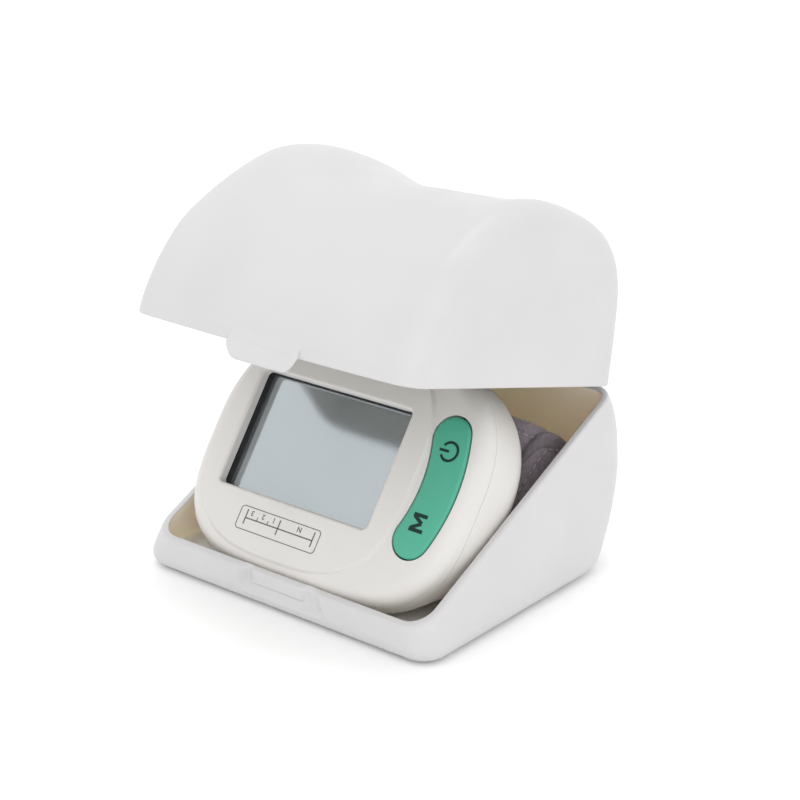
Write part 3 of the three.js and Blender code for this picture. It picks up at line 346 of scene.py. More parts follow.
def quarter_turn(steps, first=0):
    """How far across and how far down a rounded edge lies at each step, in shares of its radius."""
    angles = [step / steps * math.pi / 2 for step in range(first, steps + 1)]
    return [(1 - math.cos(angle), 1 - math.sin(angle)) for angle in angles]


def level_at(line, at):
    """The second value along a line of points where the first one is given."""
    for (low, a), (high, b) in zip(line, line[1:]):
        if at <= high:
            return a + (b - a) * min(max((at - low) / (high - low), 0), 1)
    return line[-1][1]


def spline(points, share):
    last = len(points) - 1
    index = int(math.floor(share * last))
    w = share * last - index
    four = [points[min(max(index + step, 0), last)] for step in (-1, 0, 1, 2)]
    result = []
    for a, b, c, d in zip(*four):
        v0, v1 = (c - a) / 2, (d - b) / 2
        bend = (2 * b - 2 * c + v0 + v1) * w + (-3 * b + 3 * c - 2 * v0 - v1)
        result.append(bend * w * w + v0 * w + b)
    return result


def spline_heading(points, share, step=0.0001):
    one, two = spline(points, max(share - step, 0)), spline(points, min(share + step, 1))
    length = math.dist(one, two)
    return [(b - a) / length for a, b in zip(one, two)]


def grid_faces(rows, count, round_the_row=True, back_to_first=False):
    faces = []
    for row in range(rows if back_to_first else rows - 1):
        near, far = row * count, (row + 1) % rows * count
        for i in range(count if round_the_row else count - 1):
            j = (i + 1) % count
            faces.append((near + i, near + j, far + j, far + i))
    return faces


def loft(rings):
    """Rings joined one after the other, with a lid on the first and on the last."""
    count = len(rings[0])
    points = [point for ring in rings for point in ring]
    faces = grid_faces(len(rings), count)
    faces.append(tuple(reversed(range(count))))
    faces.append(tuple(range(len(points) - count, len(points))))
    return points, faces


def hoop(sections):
    """Sections joined into a closed loop."""
    points = [point for section in sections for point in section]
    return points, grid_faces(len(sections), len(sections[0]), back_to_first=True)


def merged(*bodies):
    points, faces = [], []
    for more_points, more_faces in bodies:
        start = len(points)
        points += list(more_points)
        faces += [tuple(start + i for i in face) for face in more_faces]
    return points, faces


print("loft helpers ready")


# %% Helpers that make, cut and finish a piece
def make_mesh(name, body, place=None, inside=None, finishes=()):
    """An object from a body in millimetres; inside tells which faces have the second finish."""
    points, faces = body
    if place:
        points = [place(*point) for point in points]
    mesh = bpy.data.meshes.new(name)
    mesh.from_pydata([tuple(MM * c for c in point) for point in points], [], faces)
    for finish in finishes:
        mesh.materials.append(finish)
    if inside:
        for polygon in mesh.polygons:
            polygon.material_index = int(inside(polygon.index))
    shaped = bmesh.new()
    shaped.from_mesh(mesh)
    bmesh.ops.remove_doubles(shaped, verts=shaped.verts, dist=1e-7)
    bmesh.ops.recalc_face_normals(shaped, faces=shaped.faces)
    if shaped.calc_volume(signed=True) < 0:
        bmesh.ops.reverse_faces(shaped, faces=shaped.faces)
    shaped.to_mesh(mesh)
    shaped.free()
    return add_object(name, mesh)


def settle(piece):
    depsgraph = bpy.context.evaluated_depsgraph_get()
    mesh = bpy.data.meshes.new_from_object(piece.evaluated_get(depsgraph), depsgraph=depsgraph)
    piece.modifiers.clear()
    piece.data = mesh


def combine(piece, tool, place=None, how="DIFFERENCE"):
    """Cut a piece with a tool, or join them; a tool that is a body becomes a mesh first."""
    if isinstance(tool, tuple):
        tool = make_mesh("tool", tool, place)
    step = piece.modifiers.new("combine", "BOOLEAN")
    step.operation = how
    step.solver = "EXACT"
    step.object = tool
    settle(piece)
    bpy.data.objects.remove(tool)


def finish_piece(piece, body, materials, stands_for=(), sharp=32):
    while len(piece.data.materials) > len(materials):
        piece.data.materials.pop()
    for index, material in enumerate(materials):
        if index < len(piece.data.materials):
            piece.data.materials[index] = material
        else:
            piece.data.materials.append(material)
    piece.data.shade_smooth()
    piece.data.set_sharp_from_angle(angle=math.radians(sharp))
    weighted = piece.modifiers.new("even_shading", "WEIGHTED_NORMAL")
    weighted.keep_sharp = True
    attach(piece, body)
    if stands_for:
        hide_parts(*stands_for)
    print(piece.name, "faces:", len(piece.data.polygons))


print("piece helpers ready")


# %% Helpers for flat shapes with soft edges
def outset(outline, distance):
    count = len(outline)
    moved = []
    for i in range(count):
        ax, ay = outline[i - 1]
        bx, by = outline[i]
        cx, cy = outline[(i + 1) % count]
        first = math.dist((ax, ay), (bx, by)) or 1
        second = math.dist((bx, by), (cx, cy)) or 1
        nx = (by - ay) / first + (cy - by) / second
        ny = -(bx - ax) / first - (cx - bx) / second
        length = math.hypot(nx, ny) or 1
        nx, ny = nx / length, ny / length
        along = nx * (by - ay) / first - ny * (bx - ax) / first
        reach = distance / max(along, 0.5)
        moved.append((bx + nx * reach, by + ny * reach))
    return moved


def stack(outline, levels):
    return loft([[(x, y, height) for x, y in outset(outline, out)] for out, height in levels])


def soft_plate(outline, low, high, top_round, low_round=0.0, steps=5):
    """A plate whose upper edge is rounded, and its lower one where a radius is given."""
    turns = quarter_turn(steps)
    levels = [(0, low)]
    if low_round:
        levels = [(-low_round * down, low + low_round * across) for across, down in turns]
    levels += [(-top_round * across, high - top_round * down) for across, down in turns]
    return stack(outline, levels)


def flared_cutter(outline, low, high, flare, steps=5):
    """A tool for an opening whose mouth is rounded."""
    levels = [(flare * across, high - flare * down) for across, down in quarter_turn(steps)]
    return stack(outline, [(0, low), *levels, (levels[-1][0], high + 3)])


def arc_points(centre, radius, start, end, steps):
    angles = [start + (end - start) * i / steps for i in range(steps + 1)]
    return [(centre[0] + radius * math.cos(a), centre[1] + radius * math.sin(a)) for a in angles]


def rounded_oblong(centre, size, radius, steps=8):
    half_x, half_y = size[0] / 2 - radius, size[1] / 2 - radius
    outline = []
    for corner, (side_x, side_y) in enumerate(((1, 1), (-1, 1), (-1, -1), (1, -1))):
        middle_point = (centre[0] + side_x * half_x, centre[1] + side_y * half_y)
        start = corner * math.pi / 2
        outline += arc_points(middle_point, radius, start, start + math.pi / 2, steps)
    return outline


def round_bar(radius, start, end, steps=48, edge=0.0):
    start, end = Vector(start), Vector(end)
    length = (end - start).length
    along = (end - start).normalized()
    side = along.orthogonal().normalized()
    other = along.cross(side)
    ends = quarter_turn(3) if edge else [(0, 0)]
    profile = [(edge * across, radius - edge * down) for across, down in ends]
    profile += [(length - at, reach) for at, reach in reversed(profile)]
    return loft([
        [tuple(start + along * at + side * reach * math.cos(turn) + other * reach * math.sin(turn))
         for turn in full_turn(steps)]
        for at, reach in profile
    ])


def block(low, high):
    (ax, ay, az), (bx, by, bz) = low, high
    points = [(x, y, z) for z in (az, bz) for x, y in ((ax, ay), (bx, ay), (bx, by), (ax, by))]
    return loft([points[:4], points[4:]])


print("flat shape helpers ready")

# %% [markdown]
# ### Sizes and places
#
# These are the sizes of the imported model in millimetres. The case rests on its flat underside. The
# monitor leans back at 54 degrees in it, and the lid turns about the pin along the rear wall's top.

# %% Case sizes
CASE_WALL = 1.8
CASE_FLOOR = 2.0
CASE_HALF = 40.5
SIDE_DRAFT = 3.0
FRONT_FLARE = 1.3
FRONT_Y = -33.3
FRONT_RIM = 7.7
HINGE_Y = 38.0
HINGE_Z = 42.3
BULGE = 5.2
TUCK = 0.3
HINGE_OUTSET = 0.4
BELLY = 23.7
CORNER = 9.0
RIM_CORNER = 5.0
FOOT_CORNER = 14.5
FRONT_CORNER = 6.5
FOOT = 3.4
FLOOR_ROUND = 1.3
RUN_GAP = 0.35
RIM_SLOPE = (HINGE_Z - FRONT_RIM) / (HINGE_Y - FRONT_Y)
RIM_ANGLE = math.atan(RIM_SLOPE)


def rim_z(y):
    return FRONT_RIM + (y - FRONT_Y) * RIM_SLOPE


print("rim rises by", round(math.degrees(RIM_ANGLE), 2), "degrees")

# %% Monitor sizes and its lean
LEAN = math.radians(54)
BODY_HALF = 38.0
BODY_UPPER = 30.5
BODY_LOWER = 30.6
BODY_DEPTH = 23.0
REST_DEPTH = 8.8
SHELL_WALL = 1.8
FACE_Z = CASE_FLOOR + 0.3 + BODY_LOWER * math.sin(LEAN) + REST_DEPTH * math.cos(LEAN)
ROUND_LOSS = 3.6 * (1 - math.sqrt(0.5))
FACE_Y = (FRONT_Y + CASE_WALL + 0.35 + (BODY_LOWER - ROUND_LOSS) * math.cos(LEAN)
          - ROUND_LOSS * math.sin(LEAN))


def on_monitor(x, s, out):
    return (
        x,
        FACE_Y + s * math.cos(LEAN) - out * math.sin(LEAN),
        FACE_Z + s * math.sin(LEAN) + out * math.cos(LEAN),
    )


print("middle of the display's plane:", [round(c, 2) for c in on_monitor(0, 0, 0)])

# %% [markdown]
# ### The lid
#
# The lid is a dome with a wave across its top, flat sides and soft ridges between them. It is made
# as one grid of outlines from side to side, an outer skin and an inner skin a wall apart, with the
# rim rounded between them. Drawing both skins from one outline keeps the wall even.

# %% The lid's outline and its wave
LID_LENGTH = (HINGE_Y - FRONT_Y) / math.cos(RIM_ANGLE)
LID_HEIGHT = 39.67
LID_ROUND = 5.5
LID_DRAFT = 1.1
LID_BOW = 1.8
WAVE = 5.0
LID_OPEN = math.radians(15.4)
LID_PROFILE = [(u * LID_LENGTH, w * LID_HEIGHT) for u, w in (
    (0.008, 0.28), (0.025, 0.55), (0.066, 0.727), (0.135, 0.85), (0.225, 0.922), (0.33, 0.97),
    (0.46, 1), (0.575, 0.985), (0.66, 0.935), (0.74, 0.845), (0.806, 0.745), (0.874, 0.614),
    (0.922, 0.474), (0.962, 0.32), (0.988, 0.17), (0.998, 0.08),
)]
WAVE_SHARES = [(i / 8, share) for i, share in enumerate(
    (-0.65, 0.55, 0.65, 0.1, -0.25, -0.2, -0.15, -0.05, 0.3))]


def lid_outline(inset, low, steps=104):
    outline = [(inset, low)]
    for i in range(steps + 1):
        u, w = spline(LID_PROFILE, i / steps)
        du, dw = spline_heading(LID_PROFILE, i / steps)
        outline.append((u + dw * inset, w - du * inset))
    outline.append((LID_LENGTH - inset, low))
    return outline


def lid_point(x, u, w):
    rise = smooth_step(w / LID_HEIGHT, 0.45, 1)
    ahead = smooth_step(u / LID_LENGTH, 0.5, 1)
    across = x / CASE_HALF
    wave = WAVE * spline(WAVE_SHARES, min(max((across + 1) / 2, 0), 1))[1]
    lean = 1 - LID_DRAFT / CASE_HALF * max(0, w / LID_HEIGHT)
    return (x * lean, LID_BOW * across ** 2 * ahead - u, w + wave * rise)


def on_lid(x, y, w):
    c, s = math.cos(LID_OPEN), math.sin(LID_OPEN)
    return (x, HINGE_Y + y * c + w * s, HINGE_Z - y * s + w * c)


print("lid length along its rim:", round(LID_LENGTH, 2), "mm")


# %% The lid's two skins and its rim
RIM_FILLET = 0.5
RIM_STEPS = 4
RIDGE_STEPS = 10
TOP_SPANS = 60
SIDE_POINTS = 26
SIDE_PLACES = [LID_LENGTH - LID_ROUND + (2 * LID_ROUND - LID_LENGTH) * step / SIDE_POINTS
               for step in range(1, SIDE_POINTS)]


def lid_stations(inset):
    """Where the outlines stand from side to side, and how far each is drawn in."""
    half, radius = CASE_HALF - inset, LID_ROUND - inset
    ridge = [(-half + radius * across, inset + radius * down)
             for across, down in quarter_turn(RIDGE_STEPS)[:-1]]
    flat = half - radius
    top = [(-flat + 2 * flat * span / TOP_SPANS, inset) for span in range(TOP_SPANS + 1)]
    return ridge + top + [(-x, drawn_in) for x, drawn_in in reversed(ridge)]


def lid_side(x, level, places=SIDE_PLACES):
    return [lid_point(x, u, level) for u in places]


def lid_perimeter(inset, level):
    stations = lid_stations(inset)
    half = CASE_HALF - inset
    front = [lid_point(x, LID_LENGTH - drawn_in, level) for x, drawn_in in stations]
    rear = [lid_point(x, drawn_in, level) for x, drawn_in in reversed(stations)]
    return front + lid_side(half, level) + rear + lid_side(-half, level, SIDE_PLACES[::-1])


def lid_skin(inset, level):
    rings = [[lid_point(x, u, w) for u, w in lid_outline(drawn_in, level)]
             for x, drawn_in in lid_stations(inset)]
    count = len(rings[0])
    points = [point for ring in rings for point in ring]
    faces = grid_faces(len(rings), count, round_the_row=False)
    for sign, first in ((-1, 0), (1, len(points) - count)):
        start = len(points)
        points += lid_side(sign * (CASE_HALF - inset), level)
        faces.append(tuple(range(first, first + count)) + tuple(range(start, len(points))))
    return points, faces


def rim_rounding(radius, steps, first=0):
    """How far in and how far down a wall's rim runs, over its outer edge and its inner one."""
    outer = [(radius * across, radius * down) for across, down in quarter_turn(steps, first)]
    return outer + [(CASE_WALL - reach, drop) for reach, drop in reversed(outer)]


def lid_rim():
    rounding = rim_rounding(RIM_FILLET, RIM_STEPS)
    loops = []
    for reach, lift in rounding:
        share = reach / CASE_WALL
        skins = [lid_perimeter(inset, RUN_GAP + lift) for inset in (0, CASE_WALL)]
        loops.append([tuple(a + (b - a) * share for a, b in zip(p, q)) for p, q in zip(*skins)])
    return [point for loop in loops for point in loop], grid_faces(len(loops), len(loops[0]))


# The inner skin takes lid_inside, a darker copy of the case plastic that paints shade on it.
outer_skin, inner_skin = [lid_skin(inset, RUN_GAP + RIM_FILLET) for inset in (0, CASE_WALL)]
lid = make_mesh(
    "lid_shell", merged(outer_skin, inner_skin, lid_rim()), on_lid,
    inside=lambda face: 0 <= face - len(outer_skin[1]) < len(inner_skin[1]),
    finishes=[case_white, lid_inside],
)
print("lid skin faces:", len(lid.data.polygons))

# %% [markdown]
# The catch tongue is drawn where it lies when the case is shut, and then turned back with the lid.
# The hinge knuckle is a short bar under the rear edge. The cuts round it let the case's own
# knuckles turn past, and the pin runs through all of them.

# %% The lid's tongue, knuckle and cuts
KNUCKLE = 2.5
KNUCKLE_EDGE = 0.3
LID_KNUCKLE = 11.0
TUB_KNUCKLE = LID_KNUCKLE + RUN_GAP + 8.0
PIN_BORE = 1.15
TONGUE_DROP = 3.5
TONGUE_ROOT = 4.6
TONGUE_LEFT = 8.4
TONGUE_RIGHT = 11.6
TONGUE_OUT = 0.75
TONGUE_CLEAR = 0.08
TONGUE_TIP = 0.5
TONGUE_SQUARE = 0.35
TONGUE_STEPS = 36
TONGUE_ACROSS = 48
FRONT_POINTS = 44


def on_shut_lid(x, y, z):
    y, z = y - HINGE_Y, z - HINGE_Z
    c, s = math.cos(RIM_ANGLE), math.sin(RIM_ANGLE)
    return on_lid(x, y * c + z * s, -y * s + z * c)


def wall_line():
    """Height and place of the lid's front wall as it stands when the case is shut."""
    c, s = math.cos(RIM_ANGLE), math.sin(RIM_ANGLE)
    outline = lid_outline(0, RUN_GAP)[-FRONT_POINTS:]
    return [(HINGE_Z - u * s + w * c, HINGE_Y - u * c - w * s) for u, w in reversed(outline)]


LID_FRONT = wall_line()


def tongue_half_widths(z):
    """The tongue's reach to the left and to the right at a height, as it lies in the shut case."""
    down = min(max((FRONT_RIM - z) / TONGUE_DROP, 0), 1)
    rounding = 1 - math.sqrt(1 - down ** 2)
    return TONGUE_LEFT - 2.6 * rounding - 1.9 * down, TONGUE_RIGHT - 1.8 * rounding - 0.4 * down


def tongue_body():
    """Sections from the tip up to the root, which runs out in the lid's front wall."""
    rings = []
    for step in range(TONGUE_STEPS + 1):
        z = FRONT_RIM - TONGUE_DROP + (TONGUE_DROP + TONGUE_ROOT) * step / TONGUE_STEPS
        left, right = tongue_half_widths(z)
        up = smooth_step(z, FRONT_RIM, FRONT_RIM + TONGUE_ROOT)
        tip = 1 - min((z - FRONT_RIM + TONGUE_DROP) / TONGUE_TIP, 1)
        wall_y = level_at(LID_FRONT, z)
        outer = wall_y - TONGUE_OUT * (1 - up) + 0.3 * up
        inner = wall_y - TONGUE_CLEAR + 1.2 * smooth_step(z, FRONT_RIM + 0.1, FRONT_RIM + 1)
        thick = (inner - outer) / 2 * (0.25 + 0.75 * math.sqrt(max(0, 1 - tip ** 2)))
        rings.append([(
            (right - left) / 2 + (right + left) / 2 * powered(math.cos(turn), TONGUE_SQUARE),
            (outer + inner) / 2 + thick * powered(math.sin(turn), TONGUE_SQUARE), z,
        ) for turn in full_turn(TONGUE_ACROSS)])
    return loft(rings)


def hinge_bar(radius, start, end, edge=0.0):
    """A bar along the hinge's own line, where the lid's coordinates start."""
    return round_bar(radius, (start, 0, 0), (end, 0, 0), edge=edge)


combine(lid, tongue_body(), on_shut_lid, "UNION")
for side in (-1, 1):
    combine(lid, hinge_bar(
        KNUCKLE + RUN_GAP, side * LID_KNUCKLE, side * (TUB_KNUCKLE + RUN_GAP)), on_lid)
combine(lid, hinge_bar(KNUCKLE, -LID_KNUCKLE, LID_KNUCKLE, KNUCKLE_EDGE), on_lid, "UNION")
combine(lid, hinge_bar(PIN_BORE, -TUB_KNUCKLE, TUB_KNUCKLE), on_lid)
finish_piece(lid, "lid", [case_white, lid_inside], ["case_lid"])

# %% [markdown]
# ### The tub
#
# The tub is made of columns round its plan: each column climbs from the underside over the foot,
# up the wall to the sloping rim, over the rounded rim and down the inside to the floor. So the rim
# is rounded everywhere, although it climbs from the low front to the tall rear wall.

# %% The tub's plan and its columns
RIM_SOFT = 0.55
RIM_TURN = 5
FOOT_STEPS = 6
WALL_LEVELS = 26
LEVELLING = 24
CORNER_STEPS = 12
SIDE_STEPS = 30
FRONT_STEPS = 136
FRONT_LEFT_CORNER = 2


def plan_places():
    """Where the columns stand: a corner, how far round it, and how far along the side after it."""
    places = []
    for corner in range(4):
        places += [(corner, step / CORNER_STEPS, 0) for step in range(CORNER_STEPS)]
        steps = FRONT_STEPS if corner == FRONT_LEFT_CORNER else SIDE_STEPS
        places += [(corner, 1, step / steps) for step in range(steps)]
    return places


def rear_wall_y(z):
    belly = HINGE_Y + BULGE
    if z < BELLY:
        return belly - (belly - HINGE_Y + TUCK) * (1 - z / BELLY) ** 2
    return belly - (belly - HINGE_Y + HINGE_OUTSET) * ((z - BELLY) / (HINGE_Z - BELLY)) ** 2


def rear_corner(z):
    if z < BELLY:
        return FOOT_CORNER + (CORNER - FOOT_CORNER) * z / BELLY
    return CORNER + (RIM_CORNER - CORNER) * smooth_step(z, BELLY, HINGE_Z)


def tub_lean(y, z):
    up = z / rim_z(y)
    share = 1 - up ** 2 if up < 1 else 2 * (1 - up)
    return 1 + SIDE_DRAFT / CASE_HALF * share


def tub_plan(z, inset, place):
    cut = min(inset, CASE_WALL)
    rear_round, front_round = rear_corner(z) - cut, FRONT_CORNER - cut
    half = CASE_HALF - inset
    low = FRONT_Y - FRONT_FLARE * max(0, 1 - z / FRONT_RIM) + inset + front_round
    high = rear_wall_y(z) - inset - rear_round
    corners = [
        (half - rear_round, high, rear_round), (rear_round - half, high, rear_round),
        (front_round - half, low, front_round), (half - front_round, low, front_round),
    ]
    corner, turned_by, share = place
    angle = (corner + turned_by) * math.pi / 2

    def on_corner(index):
        x, y, radius = corners[index % 4]
        return x + radius * math.cos(angle), y + radius * math.sin(angle)

    x, y = on_corner(corner)
    if share:
        next_x, next_y = on_corner(corner + 1)
        x, y = x + (next_x - x) * share, y + (next_y - y) * share
    return (x * tub_lean(y, z), y)


def rim_point(place, inset, drop):
    """The point on the sloping rim's plane, found by going back and forth between y and z."""
    z = HINGE_Z / 2
    for _ in range(LEVELLING):
        z = min(rim_z(tub_plan(z, inset, place)[1]) - drop, HINGE_Z)
    return (*tub_plan(z, inset, place), z)


def wall_column(place, inset, floor, radius):
    """One skin's points round its foot and up to where the rim's rounding starts."""
    levels = [(inset + radius * down, floor + radius * across)
              for across, down in quarter_turn(FOOT_STEPS)]
    rise = rim_point(place, inset, RIM_SOFT)[2] - floor - radius
    levels += [(inset, floor + radius + rise * level / WALL_LEVELS)
               for level in range(1, WALL_LEVELS + 1)]
    return [(*tub_plan(z, drawn_in, place), z) for drawn_in, z in levels]


# %% The catch in the tub's front
CATCH_BAR = (-8.7, 6.8)
CATCH_TALL = 3.0
BAR_DEPTH = 0.12
DISH_DEPTH = 0.65
DISH_LEFT = -12.6
DISH_RIGHT = 11.5
PIT_AT = -10
NOTCH_AT = 8.1


def catch_relief(x, z):
    """How far the front wall is pressed in: a dish with a bar in it for the lid's tongue."""
    down = FRONT_RIM - z
    flare = FRONT_FLARE * max(0, down / FRONT_RIM)
    right = DISH_RIGHT + 0.5 * down
    across = smooth_step(x, DISH_LEFT, DISH_LEFT + 2) * (1 - smooth_step(x, right - 1.5, right))
    dish = (DISH_DEPTH + flare) * across * (1 - smooth_step(down, 2.6, 5.6))
    pit = 0.4 * math.exp(-((x - PIT_AT) / 1.1) ** 2) * (1 - smooth_step(down, 2, 4.5))
    notch = 0.35 * math.exp(-((x - NOTCH_AT) / 0.8) ** 2) * (1 - smooth_step(down, 1.5, 3.5))
    bar_ends = smooth_step(x, CATCH_BAR[0] - 0.2, CATCH_BAR[0] + 0.3) * (
        1 - smooth_step(x, CATCH_BAR[1] - 0.3, CATCH_BAR[1] + 0.2))
    bar = bar_ends * (1 - smooth_step(down, CATCH_TALL - 0.3, CATCH_TALL + 0.25))
    return (dish + pit + notch) * (1 - bar) + (BAR_DEPTH + flare) * bar


print("the dish leaves", round(CASE_WALL - DISH_DEPTH, 2), "mm of the wall")


# %% The tub's columns
def tub_column(place):
    corner, turned_by, _ = place
    on_front = corner == FRONT_LEFT_CORNER and turned_by == 1

    def pressed(point, inset):
        x, y, z = point
        return (x, y + catch_relief(x, z) * (1 - inset / CASE_WALL) if on_front else y, z)

    outside = [pressed(point, 0) for point in wall_column(place, 0, 0, FOOT)]
    rim = [pressed(rim_point(place, inset, drop), inset)
           for inset, drop in rim_rounding(RIM_SOFT, RIM_TURN, 1)]
    return outside + rim + wall_column(place, CASE_WALL, CASE_FLOOR, FLOOR_ROUND)[::-1]


tub_columns = [tub_column(place) for place in plan_places()]
column_length = len(tub_columns[0])
print("tub columns:", len(tub_columns), "of", column_length, "points")

# %% The tub's skin
tub_points = [point for column in tub_columns for point in column]
tub_faces = grid_faces(len(tub_columns), column_length, round_the_row=False, back_to_first=True)
walls = len(tub_faces)
for end in (0, column_length - 1):
    tub_faces.append(tuple(range(end, len(tub_points), column_length)))
inside_from = FOOT_STEPS + WALL_LEVELS + 2 * RIM_TURN


def inside_the_tub(face):
    return face > walls or face < walls and face % (column_length - 1) >= inside_from


# The inside faces take case_inside, whose brighter, warmer tone is painted glow.
tub = make_mesh(
    "tub_shell", (tub_points, tub_faces), inside=inside_the_tub, finishes=[case_white, case_inside])
print("tub skin faces:", len(tub.data.polygons))

# %% [markdown]
# The knuckles stand at the top of the rear wall on both sides of the lid's own one. The catch at
# the front needs no cut, because its dish and bar are pressed into the columns themselves. A cut
# would leave a thin line where it runs out, and the moulded dish has none.

# %% The tub's knuckles and bore
def on_hinge(x, y, z):
    return (x, HINGE_Y + y, HINGE_Z + z)


combine(tub, hinge_bar(KNUCKLE + RUN_GAP, -LID_KNUCKLE - RUN_GAP, LID_KNUCKLE + RUN_GAP), on_hinge)
for side in (-1, 1):
    ear = hinge_bar(KNUCKLE, side * (LID_KNUCKLE + RUN_GAP), side * TUB_KNUCKLE, KNUCKLE_EDGE)
    combine(tub, ear, on_hinge, "UNION")
combine(tub, hinge_bar(PIN_BORE, -TUB_KNUCKLE - 3, TUB_KNUCKLE + 3), on_hinge)
finish_piece(tub, "case", [case_white, case_inside], ["case_tub"])

# %% [markdown]
# ### The monitor's shells
#
# The body is a rounded oblong, fuller below than above. Its front shell carries a raised display
# panel with a soft edge, a window with rounded edges, and the slot of the green strip. The skins
# are lofts through oblongs, and the openings are cut with tools whose mouths flare, so that every
# edge of an opening comes out rounded.

# %% The body's outline
FACE_ROUND = 3.6
BACK_ROUND = 7.0
SHELL_JOIN = 6.0
PANEL_RISE = 0.7
PANEL_CENTRE = -5.4
PANEL_HALF = 28.6
PANEL_TALL = 27.2
SHELL_STEPS = 176


def oblong(centre, half, upper, lower, square_up, square_low):
    outline = []
    for turn in full_turn(SHELL_STEPS):
        c, s = math.cos(turn), math.sin(turn)
        power, reach = (2 / square_up, upper) if s > 0 else (2 / square_low, lower)
        outline.append((centre + half * powered(c, power), reach * powered(s, power)))
    return outline


def lower_reach(depth):
    """The body's lower end, which is flat where it stands on the tub's floor."""
    level = (FACE_Z - CASE_FLOOR - 0.3 - depth * math.cos(LEAN)) / math.sin(LEAN)
    return min(BODY_LOWER, level)


def body_loft(rings):
    """A loft through oblongs, each given by its depth and by how far it is drawn in."""
    return loft([[(x, s, -depth) for x, s in oblong(
        0, BODY_HALF - inset, BODY_UPPER - inset, lower_reach(depth) - inset, 2.5, 3.5)]
        for depth, inset in rings])


def front_skin(inset, from_depth):
    radius = FACE_ROUND - min(inset, FACE_ROUND / 2)
    rings = [(from_depth, inset)] + ([] if inset else [(from_depth - 0.25, inset)])
    rings += [(PANEL_RISE + inset + radius * down, inset + radius * across)
              for across, down in quarter_turn(9)]
    return body_loft(rings)


def rear_skin(inset, from_depth):
    radius = BACK_ROUND - inset
    turn_depth = BODY_DEPTH - inset - radius
    rings = [(from_depth, inset)]
    rings += [(SHELL_JOIN + (turn_depth - SHELL_JOIN) * share, inset)
              for share in (0.25, 0.5, 0.75)]
    rings += [(turn_depth + radius * (1 - down), inset + radius * across)
              for across, down in quarter_turn(10)]
    return body_loft(rings)


print("body outline points:", SHELL_STEPS)

# %% The raised panel
PANEL_OUT = 0.5
PANEL_IN = 0.45
PANEL_STEPS = 12


def display_panel():
    """Oblongs that climb from under the face to the panel's own face over a soft edge."""
    rings = [(PANEL_OUT, PANEL_RISE + 0.8)]
    for share in (step / PANEL_STEPS for step in range(PANEL_STEPS + 1)):
        depth = PANEL_RISE * (1 - smooth_step(share, 0, 1)) + 0.02 * (1 - share)
        rings.append((PANEL_OUT - (PANEL_OUT + PANEL_IN) * share, depth))
    return loft([[(x, s, -depth) for x, s in oblong(
        PANEL_CENTRE, PANEL_HALF + out, PANEL_TALL + out, PANEL_TALL + out, 3, 3)]
        for out, depth in rings])


front = make_mesh("monitor_front", front_skin(0, SHELL_JOIN + 0.18), on_monitor)
combine(front, display_panel(), on_monitor, "UNION")
combine(front, front_skin(SHELL_WALL, SHELL_JOIN + 3), on_monitor)
print("front shell faces:", len(front.data.polygons))

# %% [markdown]
# The window's opening has a softly flared mouth, and the clear pane lies under the shell's wall.
# The slot of the strip follows the same curved bar as the strip itself.

# %% The window and the strip's slot
WINDOW_CENTRE = (-6.1, 0.4)
WINDOW = (44.4, 28.2)
WINDOW_CORNER = 1.2
STRIP_ARC = 37.0
STRIP_WIDTH = 9.4
STRIP_TURN = math.radians(18.6)
STRIP_X = 30.0
STRIP_S = -0.4


def strip_outline(margin, arc_steps=36, end_steps=20):
    """The curved bar's outline: its outer side, one end, its inner side and the other end."""
    half, turn, middle = STRIP_WIDTH / 2 + margin, STRIP_TURN, (STRIP_X - STRIP_ARC, STRIP_S)
    end_x, end_s = middle[0] + STRIP_ARC * math.cos(turn), STRIP_ARC * math.sin(turn)
    high, low = (end_x, STRIP_S + end_s), (end_x, STRIP_S - end_s)
    return (
        arc_points(middle, STRIP_ARC + half, -turn, turn, arc_steps)
        + arc_points(high, half, turn, turn + math.pi, end_steps)[1:]
        + arc_points(middle, STRIP_ARC - half, turn, -turn, arc_steps)[1:]
        + arc_points(low, half, math.pi - turn, 2 * math.pi - turn, end_steps)[1:-1]
    )


def window_outline(margin):
    radius = max(WINDOW_CORNER + margin, WINDOW_CORNER / 2)
    size = (WINDOW[0] + 2 * margin, WINDOW[1] + 2 * margin)
    return rounded_oblong(WINDOW_CENTRE, size, radius)


combine(front, flared_cutter(window_outline(0), -6, 0, 0.8), on_monitor)
combine(front, flared_cutter(strip_outline(RUN_GAP), -8, -0.05, 0.45), on_monitor)
finish_piece(front, "case", [monitor_white], ["front_shell"])

# %% [markdown]
# Three plates lie under the opening: the clear pane, the black mask and the display's glass. The
# glass has a raised front that fills the mask, so only a narrow black border is left round it. Seen
# at a slant, that border and the dark gap above it make the black band at the window's left.

# %% The pane, the mask and the display's glass
PANE_DEPTH = (2.8, 3.8)
MASK_DEPTH = (3.9, 5.0)
GLASS_FRONT = 4.15
GLASS_DEPTH = (5.3, 7.1)
GLASS_BACK = ((-5.4, 0), (43.8, 29.8))
PLATE_LAP = 1.4
MASK_BORDER = {"left": 0.5, "right": 0.4, "low": 0.15, "high": 0.2}


def mask_opening(margin=0.0):
    (x, s), (wide, tall), border = WINDOW_CENTRE, WINDOW, MASK_BORDER
    left, right = x - wide / 2 + border["left"] - margin, x + wide / 2 - border["right"] + margin
    low, high = s - tall / 2 + border["low"] - margin, s + tall / 2 - border["high"] + margin
    return rounded_oblong(((left + right) / 2, (low + high) / 2), (right - left, high - low), 1.0)


def laid_plate(name, outline, depths, *rounds):
    """A plate that lies between two depths under the shell's face."""
    return make_mesh(name, soft_plate(outline, -depths[1], -depths[0], *rounds), on_monitor)


